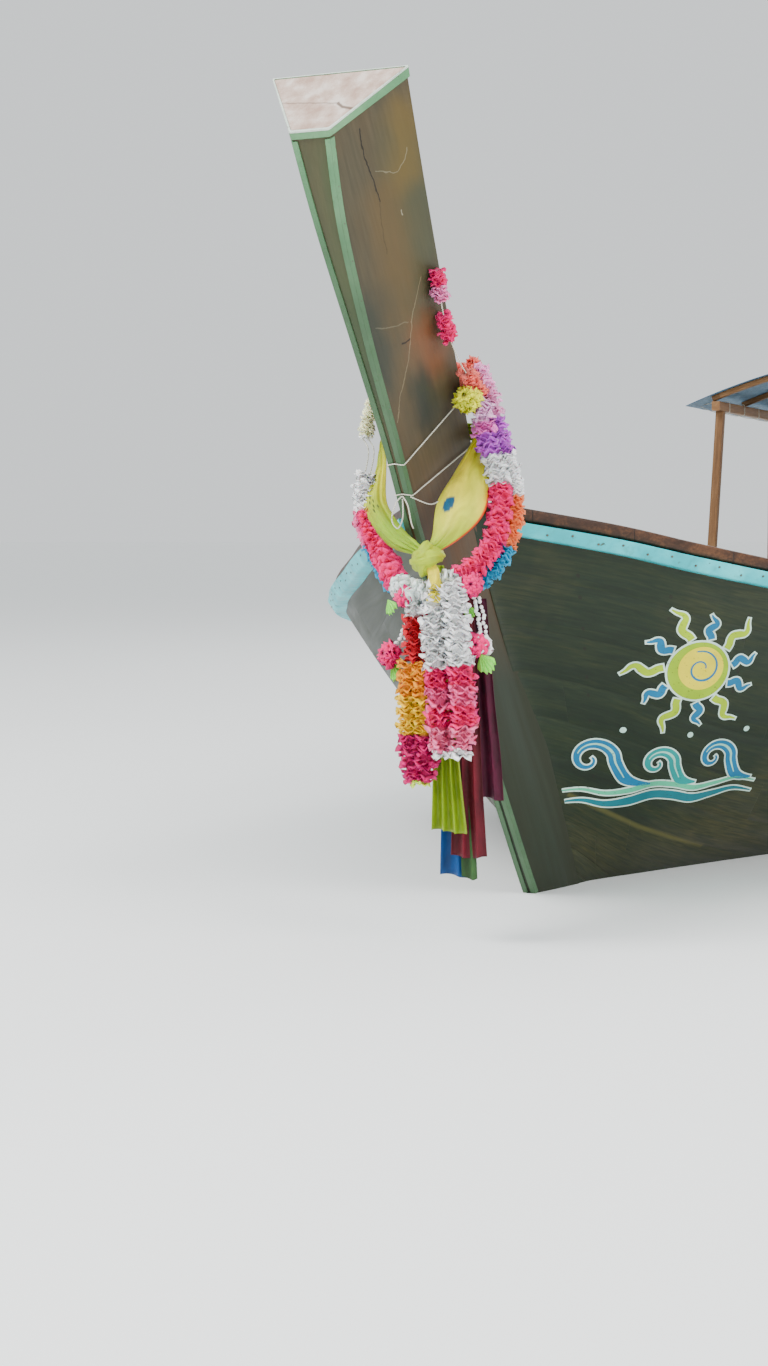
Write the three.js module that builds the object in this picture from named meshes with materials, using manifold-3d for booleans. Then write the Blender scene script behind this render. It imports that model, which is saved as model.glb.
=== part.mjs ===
// Wooden longtail boat, afloat: planked hull, tall prow with garlands, canopy aft,
// and an open diesel engine on a swivel with its long tail shaft.
// Millimetres. +X is the bow, +Y port, +Z up. The origin lies on the centreline,
// at the waterline, amidships.
import * as THREE from 'three';
import Module from 'manifold-3d';
import { mergeVertices } from 'three/addons/utils/BufferGeometryUtils.js';

const wasm = await Module();
wasm.setup();

// Driving sizes
const GAP = 0.3;
const PLANK = 30;
const FRAME_DEPTH = 45;
const FRAME_WIDTH = 48;
const FRAME_PITCH = 600;
const FRAME_FIRST = 3900;
const FRAME_COUNT = 15;
const STEM_FOOT_X = 4600;
const HULL_POINTS = 8;
const GARBOARD_TOP = 2;
const BILGE_TOP = 4;
const RAIL_THICK = 40;
const RAIL_HEIGHT = 50;
const RAIL_DROP = 8;
const CAP_HEIGHT = 35;
const CAP_OUT = 12;
const CAP_IN = 78;
const FORE_DECK_X = 2980;
const FORE_DECK_Z = 640;
const DECK_THICK = 30;
const FLOOR_Z = -190;
const FLOOR_THICK = 25;
const FLOOR_FRONT_X = 2960;
const AFT_DECK_X = -3400;
const AFT_DECK_Z = 250;
const BENCH_TOP = 190;
const BENCH_THICK = 30;
const BENCH_WIDTH = 280;
const CANOPY_FRONT_X = -950;
const CANOPY_REAR_X = -3350;
const CANOPY_SIDE_Y = 1085;
const CANOPY_SIDE_Z = 1800;
const CANOPY_CROWN_Z = 2010;
const PIVOT_X = -4900;
const PIVOT_Z = 1320;
const TAIL_ANGLE = 22;
const TAIL_LENGTH = 4100;
const PROPELLER_RADIUS = 165;

// Hull stations, bow to stern: sheer point s, bilge control point b, keel point k
const STATIONS = [
  { sx: 5275, sy: 80, sz: 1132, bx: 4620, by: 60, bz: 292, kx: 4378, ky: 52, kz: -25 },
  { sx: 5200, sy: 118, sz: 1115, bx: 4548, by: 92, bz: 307, kx: 4316, ky: 68, kz: -49 },
  { sx: 4885, sy: 355, sz: 1058, bx: 4370, by: 200, bz: 240, kx: 4130, ky: 56, kz: -158 },
  { sx: 4665, sy: 515, sz: 1008, bx: 4200, by: 290, bz: 150, kx: 3950, ky: 50, kz: -212 },
  { sx: 4435, sy: 660, sz: 963, bx: 3980, by: 375, bz: 50, kx: 3700, ky: 48, kz: -256 },
  { sx: 4170, sy: 830, sz: 913, bx: 3730, by: 470, bz: -30, kx: 3420, ky: 47, kz: -286 },
  { sx: 3935, sy: 960, sz: 873, bx: 3520, by: 540, bz: -90, kx: 3200, ky: 47, kz: -300 },
  { sx: 3650, sy: 1085, sz: 823, bx: 3270, by: 620, bz: -150, kx: 2950, ky: 47, kz: -312 },
  { sx: 3100, sy: 1175, sz: 755, bx: 2800, by: 770, bz: -235, kx: 2500, ky: 47, kz: -326 },
  { sx: 2600, sy: 1210, sz: 715, bx: 2370, by: 860, bz: -280, kx: 2150, ky: 47, kz: -332 },
  { sx: 1600, sy: 1230, sz: 660, bx: 1470, by: 950, bz: -330, kx: 1350, ky: 47, kz: -340 },
  { sx: 0, sy: 1215, sz: 620, bx: 0, by: 1000, bz: -350, kx: 0, ky: 47, kz: -345 },
  { sx: -1900, sy: 1140, sz: 640, bx: -1900, by: 930, bz: -335, kx: -1900, ky: 47, kz: -330 },
  { sx: -3700, sy: 990, sz: 690, bx: -3700, by: 780, bz: -285, kx: -3700, ky: 47, kz: -290 },
  { sx: -5200, sy: 810, sz: 760, bx: -5004, by: 600, bz: -200, kx: -5000, ky: 47, kz: -220 },
];

// Stem and prow, top to forefoot: front edge f, rear edge r (x from the stem's foot),
// and their half widths
const STEM_ROWS = [
  { fx: 1440, fz: 2003, rx: 1281, rz: 2163, fw: 50, rw: 178 },
  { fx: 1339, fz: 1797, rx: 1128, rz: 1900, fw: 34, rw: 162 },
  { fx: 1169, fz: 1540, rx: 971, rz: 1676, fw: 22, rw: 140 },
  { fx: 1000, fz: 1303, rx: 802, rz: 1439, fw: 17, rw: 118 },
  { fx: 908, fz: 1160, rx: 707, rz: 1291, fw: 16, rw: 108 },
  { fx: 826, fz: 1037, rx: 640, rz: 1181, fw: 16, rw: 103 },
  { fx: 675, fz: 858, rx: 498, rz: 1005, fw: 16, rw: 96 },
  { fx: 565, fz: 723, rx: 385, rz: 866, fw: 16, rw: 92 },
  { fx: 393, fz: 504, rx: 215, rz: 642, fw: 16, rw: 90 },
  { fx: 202, fz: 254, rx: 37, rz: 383, fw: 16, rw: 87 },
  { fx: 0, fz: 0, rx: -144, rz: 124, fw: 17, rw: 80 },
  { fx: -180, fz: -190, rx: -284, rz: -49, fw: 20, rw: 68 },
  { fx: -420, fz: -310, rx: -470, rz: -158, fw: 25, rw: 56 },
  { fx: -760, fz: -380, rx: -778, rz: -241, fw: 32, rw: 48 },
  { fx: -1200, fz: -412, rx: -1206, rz: -287, fw: 35, rw: 46 },
];

// Keel, bow to stern: x, top and bottom heights
const KEEL_ROWS = [
  { x: 3392, top: -288, bottom: -413 },
  { x: 2950, top: -313, bottom: -425 },
  { x: 2150, top: -333, bottom: -437 },
  { x: 0, top: -346, bottom: -450 },
  { x: -1900, top: -331, bottom: -440 },
  { x: -3700, top: -291, bottom: -410 },
  { x: -4990, top: -222, bottom: -360 },
];
const KEEL_TOP_HALF = 45;
const KEEL_BOTTOM_HALF = 35;

// Shared helpers

function manifoldOf(geometry) {
  const bare = geometry.clone();
  bare.deleteAttribute('normal');
  bare.deleteAttribute('uv');
  const merged = mergeVertices(bare, 1e-4);
  const solid = new wasm.Manifold(new wasm.Mesh({
    numProp: 3,
    vertProperties: new Float32Array(merged.attributes.position.array),
    triVerts: new Uint32Array(merged.index.array),
  }));
  return solid.volume() < 0 ? null : solid;
}

function geometryOf(solid) {
  const mesh = solid.getMesh();
  const geometry = new THREE.BufferGeometry();
  const points = new Float32Array(mesh.vertProperties);
  geometry.setAttribute('position', new THREE.BufferAttribute(points, 3));
  geometry.setIndex(new THREE.BufferAttribute(new Uint32Array(mesh.triVerts), 1));
  return geometry;
}

// Closed body through rings of equal point count; ring point i faces point n-1-i
// at the caps, and a looped body joins its last ring to its first
function loft(rings, looped = false) {
  const count = rings[0].length;
  const points = rings.flat(2);
  const faces = [];
  const spans = looped ? rings.length : rings.length - 1;
  for (let k = 0; k < spans; k += 1) {
    const here = k * count;
    const next = ((k + 1) % rings.length) * count;
    for (let i = 0; i < count; i += 1) {
      const j = (i + 1) % count;
      if (i < count / 2) {
        faces.push([here + i, here + j, next + j], [here + i, next + j, next + i]);
      } else {
        faces.push([here + i, here + j, next + i], [here + j, next + j, next + i]);
      }
    }
  }
  if (!looped) {
    const last = (rings.length - 1) * count;
    for (let i = 0; i < count / 2 - 1; i += 1) {
      const a = i;
      const b = i + 1;
      const c = count - 2 - i;
      const d = count - 1 - i;
      faces.push([a, c, b], [a, d, c]);
      faces.push([last + a, last + b, last + c], [last + a, last + c, last + d]);
    }
  }
  let volume = 0;
  const at = (n) => new THREE.Vector3(points[3 * n], points[3 * n + 1], points[3 * n + 2]);
  for (const [a, b, c] of faces) {
    volume += at(a).dot(at(b).cross(at(c)));
  }
  const turned = volume < 0 ? faces.map(([a, b, c]) => [a, c, b]) : faces;
  const geometry = new THREE.BufferGeometry();
  geometry.setAttribute('position', new THREE.Float32BufferAttribute(points, 3));
  geometry.setIndex(turned.flat());
  return manifoldOf(geometry);
}

function box(x0, x1, y0, y1, z0, z1) {
  const geometry = new THREE.BoxGeometry(x1 - x0, y1 - y0, z1 - z0);
  geometry.translate((x0 + x1) / 2, (y0 + y1) / 2, (z0 + z1) / 2);
  return manifoldOf(geometry);
}

// Cylinder or cone between two points
function rod(from, to, radius, endRadius = radius, sides = 20) {
  const a = new THREE.Vector3(...from);
  const b = new THREE.Vector3(...to);
  const along = b.clone().sub(a);
  const geometry = new THREE.CylinderGeometry(endRadius, radius, along.length(), sides);
  const up = new THREE.Vector3(0, 1, 0);
  const turn = new THREE.Quaternion().setFromUnitVectors(up, along.normalize());
  geometry.applyQuaternion(turn);
  geometry.translate((a.x + b.x) / 2, (a.y + b.y) / 2, (a.z + b.z) / 2);
  return manifoldOf(geometry);
}

// Bar of rectangular section between two points, its width across the given side
function bar(from, to, width, depth, side = [0, 1, 0]) {
  const a = new THREE.Vector3(...from);
  const b = new THREE.Vector3(...to);
  const along = b.clone().sub(a).normalize();
  const across = new THREE.Vector3(...side);
  across.addScaledVector(along, -across.dot(along)).normalize();
  const over = along.clone().cross(across);
  const corners = [[-1, -1], [1, -1], [1, 1], [-1, 1]];
  const ring = (p) => corners.map(([s, t]) => p.clone()
    .addScaledVector(across, (s * width) / 2)
    .addScaledVector(over, (t * depth) / 2)
    .toArray());
  return loft([ring(a), ring(b)]);
}

// Round tube through points, its radius given or listed for each point
function tube(points, radius, sides = 8, looped = false, perSpan = 3) {
  const curve = new THREE.CatmullRomCurve3(
    points.map((p) => new THREE.Vector3(...p)), looped, 'centripetal');
  const spans = (looped ? points.length : points.length - 1) * perSpan;
  const frames = curve.computeFrenetFrames(spans, looped);
  const rings = [];
  const ringCount = looped ? spans : spans + 1;
  for (let k = 0; k < ringCount; k += 1) {
    const centre = curve.getPointAt(k / spans);
    const r = typeof radius === 'number' ? radius : radius(k / spans);
    rings.push(Array.from({ length: sides }, (_, i) => {
      const angle = (2 * Math.PI * (i + 0.5)) / sides;
      return centre.clone()
        .addScaledVector(frames.normals[k], r * Math.cos(angle))
        .addScaledVector(frames.binormals[k], r * Math.sin(angle))
        .toArray();
    }));
  }
  return loft(rings, looped);
}

function join(...solids) {
  return solids.reduce((sum, solid) => sum.add(solid));
}

function largest(solid) {
  const bodies = solid.decompose();
  return bodies.reduce((best, body) => (body.volume() > best.volume() ? body : best));
}

const group = new THREE.Group();
group.name = 'longtail_boat';

function put(name, solid, color, roughness, metalness, matrix = null) {
  const geometry = geometryOf(largest(solid)).toNonIndexed();
  if (matrix) {
    geometry.applyMatrix4(matrix);
  }
  geometry.computeVertexNormals();
  const material = new THREE.MeshStandardMaterial({ color, roughness, metalness });
  const mesh = new THREE.Mesh(geometry, material);
  mesh.name = name;
  group.add(mesh);
}

function mirrored(solid) {
  const geometry = geometryOf(solid);
  geometry.scale(1, -1, 1);
  const index = geometry.index.array;
  for (let i = 0; i < index.length; i += 3) {
    [index[i + 1], index[i + 2]] = [index[i + 2], index[i + 1]];
  }
  return manifoldOf(geometry);
}

function putPair(name, solid, color, roughness, metalness) {
  put(`port_${name}`, solid, color, roughness, metalness);
  put(`starboard_${name}`, mirrored(solid), color, roughness, metalness);
}

// Hull surface: stations smoothed lengthwise, each a quadratic curve from keel to sheer

function smoothed(rows, perSpan) {
  const keys = Object.keys(rows[0]);
  const value = (i, key) => rows[Math.min(Math.max(i, 0), rows.length - 1)][key];
  const out = [];
  for (let i = 0; i < rows.length - 1; i += 1) {
    for (let s = 0; s < perSpan; s += 1) {
      const t = s / perSpan;
      const row = {};
      for (const key of keys) {
        const a = value(i, key);
        const b = value(i + 1, key);
        const slopeA = (b - value(i - 1, key)) / 2;
        const slopeB = (value(i + 2, key) - a) / 2;
        const cube = 2 * a - 2 * b + slopeA + slopeB;
        const square = -3 * a + 3 * b - 2 * slopeA - slopeB;
        row[key] = ((cube * t + square) * t + slopeA) * t + a;
      }
      out.push(row);
    }
  }
  out.push(rows[rows.length - 1]);
  return out;
}

const HULL = smoothed(STATIONS, 2).map((row) => {
  const sheer = new THREE.Vector3(row.sx, row.sy, row.sz);
  const bilge = new THREE.Vector3(row.bx, row.by, row.bz);
  const keel = new THREE.Vector3(row.kx, row.ky, row.kz);
  return Array.from({ length: HULL_POINTS }, (_, i) => {
    const t = i / (HULL_POINTS - 1);
    return new THREE.Vector3()
      .addScaledVector(keel, (1 - t) ** 2)
      .addScaledVector(bilge, 2 * t * (1 - t))
      .addScaledVector(sheer, t ** 2);
  });
});

const HULL_NORMALS = HULL.map((section, k) => section.map((point, i) => {
  const before = HULL[Math.max(k - 1, 0)][i];
  const after = HULL[Math.min(k + 1, HULL.length - 1)][i];
  const low = section[Math.max(i - 1, 0)];
  const high = section[Math.min(i + 1, HULL_POINTS - 1)];
  const lengthwise = after.clone().sub(before);
  const upward = high.clone().sub(low);
  return lengthwise.cross(upward).normalize();
}));

// Outward level direction at the sheer of station k
function sheerSide(k) {
  const normal = HULL_NORMALS[k][HULL_POINTS - 1];
  return new THREE.Vector3(normal.x, normal.y, 0).normalize();
}

// Port section k moved inward by a depth; the sheer edge stays level
function insetSection(k, depth) {
  return HULL[k].map((point, i) => {
    if (i === HULL_POINTS - 1) {
      return point.clone().addScaledVector(sheerSide(k), -depth * 1.06);
    }
    const moved = point.clone().addScaledVector(HULL_NORMALS[k][i], -depth);
    moved.y = Math.max(moved.y, depth > 0 ? 5 : moved.y);
    return moved;
  });
}

// Planks between two points of each section; the lower strip's upper edge keeps a gap
function plankStrip(first, last) {
  const strip = (k, depth) => {
    const points = insetSection(k, depth).slice(first, last + 1);
    if (last < HULL_POINTS - 1) {
      const end = points.length - 1;
      const back = points[end - 1].clone().sub(points[end]).setLength(GAP);
      points[end] = points[end].clone().add(back);
    }
    return points.map((p) => p.toArray());
  };
  return loft(HULL.map((_, k) => [...strip(k, 0), ...strip(k, PLANK).reverse()]));
}

// Whole hull body bounded by the surface at a depth, from station k0 aft
function hullBody(depth, k0 = 0) {
  const rings = [];
  for (let k = k0; k < HULL.length; k += 1) {
    const port = insetSection(k, depth).map((p) => p.toArray());
    const starboard = port.map(([x, y, z]) => [x, -y, z]).reverse();
    rings.push([...port, ...starboard]);
  }
  return loft(rings);
}

const hullClear = hullBody(-GAP);
const interior = hullBody(PLANK + GAP, 2);
const frameInner = hullBody(PLANK + GAP + FRAME_DEPTH, 3);
const insideFrames = hullBody(PLANK + FRAME_DEPTH + 2 * GAP, 3);

// Stem, prow and keel

function stemBody(grow) {
  const rings = STEM_ROWS.map(({ fx, fz, rx, rz, fw, rw }) => {
    const front = new THREE.Vector2(fx + STEM_FOOT_X, fz);
    const rear = new THREE.Vector2(rx + STEM_FOOT_X, rz);
    const out = front.clone().sub(rear).normalize().multiplyScalar(grow);
    front.add(out);
    rear.sub(out);
    return [
      [front.x, fw + grow, front.y],
      [rear.x, rw + grow, rear.y],
      [rear.x, -rw - grow, rear.y],
      [front.x, -fw - grow, front.y],
    ];
  });
  return loft(rings);
}

function keelBody(grow) {
  return loft(KEEL_ROWS.map(({ x, top, bottom }) => [
    [x, KEEL_BOTTOM_HALF + grow, bottom],
    [x, KEEL_TOP_HALF + grow, top + grow],
    [x, -KEEL_TOP_HALF - grow, top + grow],
    [x, -KEEL_BOTTOM_HALF - grow, bottom],
  ]));
}

const stemClear = stemBody(GAP);
const keelClear = keelBody(GAP);
put('stem_and_prow', stemBody(0), 0x5a3a22, 0.55, 0);
put('keel', keelBody(0), 0x4b3524, 0.7, 0);

// Port section point i at a given x, at a depth inside the skin, as y and z
function pointAt(x, i, depth) {
  const line = HULL.map((_, k) => insetSection(k, depth)[i]);
  for (let k = 1; k < line.length; k += 1) {
    const a = line[k - 1];
    const b = line[k];
    if (a.x >= x && b.x <= x) {
      const t = (a.x - x) / (a.x - b.x);
      return { y: a.y + t * (b.y - a.y), z: a.z + t * (b.z - a.z) };
    }
  }
  return null;
}

// Ribs between the planks and the benches, in a lower and an upper length, each fastened
// to the strakes that it backs
const RIB_TO_JOINT = 5;
const RIB_BITE = 2;
const ribBand = hullBody(PLANK - RIB_BITE, 3).subtract(frameInner);
let lowRibs = null;
let highRibs = null;
for (let n = 0; n < FRAME_COUNT; n += 1) {
  const x = FRAME_FIRST - n * FRAME_PITCH;
  const rib = (low, high) => ribBand.intersect(
    box(x - FRAME_WIDTH / 2, x + FRAME_WIDTH / 2, GAP, 1400, low, high));
  const depth = PLANK + FRAME_DEPTH;
  let top = 1400;
  if (x > FORE_DECK_X) {
    top = FORE_DECK_Z - GAP;
  } else if (x < AFT_DECK_X) {
    top = AFT_DECK_Z - GAP;
  }
  const garboardJoint = pointAt(x, GARBOARD_TOP, depth).z + RIB_TO_JOINT;
  const low = rib(Math.max(FLOOR_Z, garboardJoint), pointAt(x, BILGE_TOP, 0).z - RIB_TO_JOINT);
  const high = rib(pointAt(x, BILGE_TOP, depth).z + RIB_TO_JOINT, top);
  lowRibs = lowRibs ? lowRibs.add(low) : low;
  highRibs = highRibs ? highRibs.add(high) : high;
}

// Parallel planes at the raked stern: the hull's end, then the transom's fore face
const STERN_TRIM = 9;
const TRANSOM_THICK = 50;
const rake = (z) => -5000 - (200 * (z + 220)) / 980;
function aheadOf(distance) {
  return loft([-600, 1500].map((z) => [
    [rake(z) + distance, -1500, z],
    [6000, -1500, z],
    [6000, 1500, z],
    [rake(z) + distance, 1500, z],
  ]));
}
const hullLength = aheadOf(STERN_TRIM);
const aheadOfTransom = aheadOf(STERN_TRIM + TRANSOM_THICK + GAP);

// The lower strakes are in three lengths, butted between ribs
const PLANK_BUTTS = [1200, -1800];
const LENGTH_NAMES = ['fore', 'middle', 'after'];
const lengthEnds = [6000, ...PLANK_BUTTS, -6000];
function putLengths(name, strakes, color, roughness) {
  LENGTH_NAMES.forEach((length, n) => {
    const span = box(lengthEnds[n + 1] + GAP, lengthEnds[n], -1500, 1500, -600, 1500);
    putPair(`${length}_${name}`, strakes.intersect(span), color, roughness, 0);
  });
}

const garboardPlanks = plankStrip(0, GARBOARD_TOP).subtract(stemClear).subtract(keelClear);
const bilgePlanks = plankStrip(GARBOARD_TOP, BILGE_TOP).add(lowRibs).subtract(stemClear);
const sidePlanks = plankStrip(BILGE_TOP, HULL_POINTS - 1).add(highRibs).subtract(stemClear)
  .intersect(hullLength);
putLengths('garboard_planks', garboardPlanks.intersect(hullLength), 0x403426, 0.6);
putLengths('bilge_planks', bilgePlanks.intersect(hullLength), 0x403426, 0.6);
putPair('side_planks', sidePlanks, 0x4c3b28, 0.5, 0);

// Rub rail on the planks' face, and cap rail over their upper edge
const railRings = [];
const capRings = [];
for (let k = 1; k < HULL.length; k += 1) {
  const top = HULL[k][HULL_POINTS - 1];
  const down = HULL[k][HULL_POINTS - 2].clone().sub(top).normalize();
  const side = sheerSide(k);
  const high = top.clone().addScaledVector(down, RAIL_DROP);
  const low = top.clone().addScaledVector(down, RAIL_DROP + RAIL_HEIGHT);
  railRings.push([
    high.clone().addScaledVector(side, -8),
    high.clone().addScaledVector(side, RAIL_THICK),
    low.clone().addScaledVector(side, RAIL_THICK),
    low.clone().addScaledVector(side, -8),
  ].map((p) => p.toArray()));
  const outer = top.clone().addScaledVector(side, CAP_OUT);
  const inner = top.clone().addScaledVector(side, -CAP_IN);
  capRings.push([
    [outer.x, outer.y, top.z + GAP],
    [outer.x, outer.y, top.z + CAP_HEIGHT],
    [inner.x, inner.y, top.z + CAP_HEIGHT],
    [inner.x, inner.y, top.z + GAP],
  ]);
}
const rubRail = loft(railRings).subtract(hullClear).subtract(stemClear);
const capRail = loft(capRings).subtract(stemClear)
  .subtract(sidePlanks.translate([0, 0, GAP]));
putPair('rub_rail', rubRail, 0x5fcfc0, 0.4, 0);
putPair('cap_rail', capRail, 0x8a5230, 0.5, 0);

// Transom: boards across the inside of the planks' after end, flush with it
const transom = interior.intersect(hullLength).subtract(aheadOf(STERN_TRIM + TRANSOM_THICK))
  .subtract(keelClear);
put('transom', transom, 0x5b4229, 0.55, 0);

// Floor timbers with flat tops below the boards, joined by a keelson
const KEELSON_HALF = 60;
const KEELSON_DEEP = 55;
let floors = interior.subtract(interior.translate([0, 0, KEELSON_DEEP]))
  .intersect(box(-4700, 4000, -KEELSON_HALF, KEELSON_HALF, -500, FLOOR_Z - GAP));
for (let n = 0; n < FRAME_COUNT; n += 1) {
  const x = FRAME_FIRST - n * FRAME_PITCH;
  floors = floors.add(interior.intersect(
    box(x - FRAME_WIDTH / 2, x + FRAME_WIDTH / 2, -1400, 1400, -600, FLOOR_Z - GAP)));
}
floors = floors.subtract(stemClear).subtract(keelClear).intersect(aheadOfTransom);
put('floors_and_keelson', floors, 0x5b432b, 0.7, 0);

// Breast beam behind the prow, decks and floor boards
const breastBeam = interior.intersect(box(4985, 5075, -600, 600, 985, 1060));
put('breast_beam', breastBeam.subtract(stemClear), 0x8d8a80, 0.7, 0);
const foreDeck = join(
  interior.intersect(box(FORE_DECK_X, 5400, -1400, 1400, FORE_DECK_Z, FORE_DECK_Z + DECK_THICK)),
  interior.intersect(box(FORE_DECK_X, FORE_DECK_X + 60, -1400, 1400,
    FORE_DECK_Z - 90, FORE_DECK_Z + 1)),
);
put('fore_deck', foreDeck.subtract(stemClear), 0x6b4a2d, 0.6, 0);
const floorBoards = insideFrames.intersect(
  box(AFT_DECK_X + 40, FLOOR_FRONT_X, -1400, 1400, FLOOR_Z, FLOOR_Z + FLOOR_THICK));
put('floor_boards', floorBoards, 0x7a5a38, 0.65, 0);
const aftDeck = join(
  interior.intersect(box(-5400, AFT_DECK_X, -1400, 1400, AFT_DECK_Z, AFT_DECK_Z + DECK_THICK)),
  insideFrames.intersect(box(AFT_DECK_X - 30, AFT_DECK_X, -1400, 1400, FLOOR_Z + 60,
    AFT_DECK_Z + 1)),
).intersect(aheadOfTransom);
put('aft_deck', aftDeck, 0x6b4a2d, 0.6, 0);

// Benches on their risers
const riserInner = hullBody(PLANK + FRAME_DEPTH + 2 * GAP + 40, 3);
const risers = insideFrames.subtract(riserInner);
function benchGroup(fore, aft, spots) {
  let group = risers.intersect(
    box(aft, fore, -1400, 1400, BENCH_TOP - BENCH_THICK - 50, BENCH_TOP - BENCH_THICK + 1));
  for (const x of spots) {
    group = group.add(insideFrames.intersect(box(x - BENCH_WIDTH / 2, x + BENCH_WIDTH / 2,
      -1400, 1400, BENCH_TOP - BENCH_THICK, BENCH_TOP)));
  }
  return group;
}
put('fore_benches', benchGroup(2760, -500 + GAP, [2300, 1500, 700, -100]), 0x8a6238, 0.6, 0);
put('after_benches', benchGroup(-500, -3200, [-900, -1700, -2500]), 0x8a6238, 0.6, 0);

// Canopy: posts and side rails, bows with battens, and the cover

const sheerAt = (x) => pointAt(x, HULL_POINTS - 1, 0);
const POST_X = [-1050, -2150, -3250];
const POST_SIZE = 44;
const sideFrame = join(
  bar([CANOPY_FRONT_X, CANOPY_SIDE_Y, CANOPY_SIDE_Z - 25],
    [CANOPY_REAR_X, CANOPY_SIDE_Y, CANOPY_SIDE_Z - 25], 44, 50),
  ...POST_X.map((x) => {
    const foot = sheerAt(x);
    const base = [x, foot.y - 35, foot.z + CAP_HEIGHT - 20];
    return bar(base, [x, CANOPY_SIDE_Y, CANOPY_SIDE_Z - 30], POST_SIZE, POST_SIZE)
      .subtract(box(x - 80, x + 80, 0, 1500, 0, foot.z + CAP_HEIGHT + 1));
  }),
).subtract(capRail);
putPair('canopy_frame', sideFrame, 0x6e4b2c, 0.6, 0);

const ARCH_STEP = 138.4;
const crownAt = (y) => CANOPY_SIDE_Z + GAP
  + (CANOPY_CROWN_Z - CANOPY_SIDE_Z) * (1 - (y / (8 * ARCH_STEP)) ** 2);
function arched(x0, x1, steps, low, high) {
  const rings = [];
  for (let n = -steps; n <= steps; n += 1) {
    const y = n * ARCH_STEP;
    const z = crownAt(y);
    rings.push([[x0, y, z + low], [x1, y, z + low], [x1, y, z + high], [x0, y, z + high]]);
  }
  return loft(rings);
}
const bowSpots = [-975, -1565, -2150, -2735, -3325];
const bows = join(
  ...bowSpots.map((x) => arched(x - 20, x + 20, 8, 0, 28)),
  ...[-540, 0, 540].map((y) => box(-3340, -960, y - 22, y + 22,
    crownAt(y) - 22, crownAt(y) + 14)),
);
put('canopy_bows', bows, 0x7a5733, 0.6, 0);
put('canopy_cover', arched(CANOPY_REAR_X - 40, CANOPY_FRONT_X + 40, 9, 28 + GAP, 36 + GAP),
  0x3f6f8f, 0.85, 0);

// Engine bearer: timber beam over the cap rails, propped from the after deck
const bearerFoot = sheerAt(PIVOT_X);
const beamBottom = sheerAt(PIVOT_X - 140).z + CAP_HEIGHT + GAP;
const beamTop = beamBottom + 100;
const PROP_NEAR = 540;
const PROP_FAR = 590;
const bearer = join(
  box(PIVOT_X - 100, PIVOT_X + 100, -bearerFoot.y - 20, bearerFoot.y + 20, beamBottom, beamTop),
  box(PIVOT_X - 70, PIVOT_X + 70, -70, 70, AFT_DECK_Z + DECK_THICK + GAP, beamBottom + 1),
  ...[-1, 1].map((s) => box(PIVOT_X - 70, PIVOT_X + 70,
    Math.min(s * PROP_NEAR, s * PROP_FAR), Math.max(s * PROP_NEAR, s * PROP_FAR),
    AFT_DECK_Z + DECK_THICK + GAP, beamBottom + 1)),
);
put('engine_bearer', bearer, 0x54402c, 0.7, 0);

// Swivel: socket on the bearer, fork with its pin, trunnions in the cradle
const SOCKET_TOP = beamTop + 90;
const FORK_BASE = SOCKET_TOP + 1;
const socket = join(
  rod([PIVOT_X, 0, beamTop + GAP], [PIVOT_X, 0, SOCKET_TOP], 55, 55, 32),
  box(PIVOT_X - 90, PIVOT_X + 90, -90, 90, beamTop + GAP, beamTop + 16),
).subtract(rod([PIVOT_X, 0, beamTop + 18], [PIVOT_X, 0, SOCKET_TOP + 10], 32, 32, 32));
put('swivel_socket', socket, 0x55585a, 0.5, 0.8);
const TRUNNION_HOLE = 21;
let fork = join(
  rod([PIVOT_X, 0, beamTop + 24], [PIVOT_X, 0, FORK_BASE + 10], 31, 31, 32),
  box(PIVOT_X - 60, PIVOT_X + 60, -250, 250, FORK_BASE, FORK_BASE + 25),
);
for (const s of [-1, 1]) {
  const near = Math.min(s * 225, s * 250);
  const far = Math.max(s * 225, s * 250);
  fork = fork.add(box(PIVOT_X - 45, PIVOT_X + 45, near, far, FORK_BASE, PIVOT_Z));
  fork = fork.add(rod([PIVOT_X, near, PIVOT_Z], [PIVOT_X, far, PIVOT_Z], 45, 45, 28));
}
fork = fork.subtract(rod([PIVOT_X, -400, PIVOT_Z], [PIVOT_X, 400, PIVOT_Z],
  TRUNNION_HOLE, TRUNNION_HOLE, 24));
put('swivel_fork', fork, 0x4d5255, 0.5, 0.8);

// Everything below is drawn level about the pivot and then tipped by the tail's angle
const tipped = new THREE.Matrix4().makeRotationY(THREE.MathUtils.degToRad(-TAIL_ANGLE));
tipped.setPosition(PIVOT_X, 0, PIVOT_Z);
const putTipped = (name, solid, color, roughness, metalness) => put(name, solid, color,
  roughness, metalness, tipped);

const RAIL_NEAR = 175;
const RAIL_FAR = 215;
const BELL_RADIUS = 165;
const bellProfile = [[-590, 62], [-500, 78], [-430, 120], [-360, BELL_RADIUS],
  [-300 - GAP, BELL_RADIUS]];
function turned(profile, grow = 0, sides = 32) {
  const outline = [[0, profile[0][0]], ...profile.map(([x, r]) => [r + grow, x]),
    [0, profile[profile.length - 1][0]]];
  const geometry = new THREE.LatheGeometry(
    outline.map(([r, x]) => new THREE.Vector2(r, x)), sides);
  geometry.rotateZ(-Math.PI / 2);
  const solid = manifoldOf(geometry);
  return solid || manifoldOf(flipped(geometry));
}
function flipped(geometry) {
  const copy = geometry.clone();
  const index = copy.index.array;
  for (let i = 0; i < index.length; i += 3) {
    [index[i + 1], index[i + 2]] = [index[i + 2], index[i + 1]];
  }
  return copy;
}

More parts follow.
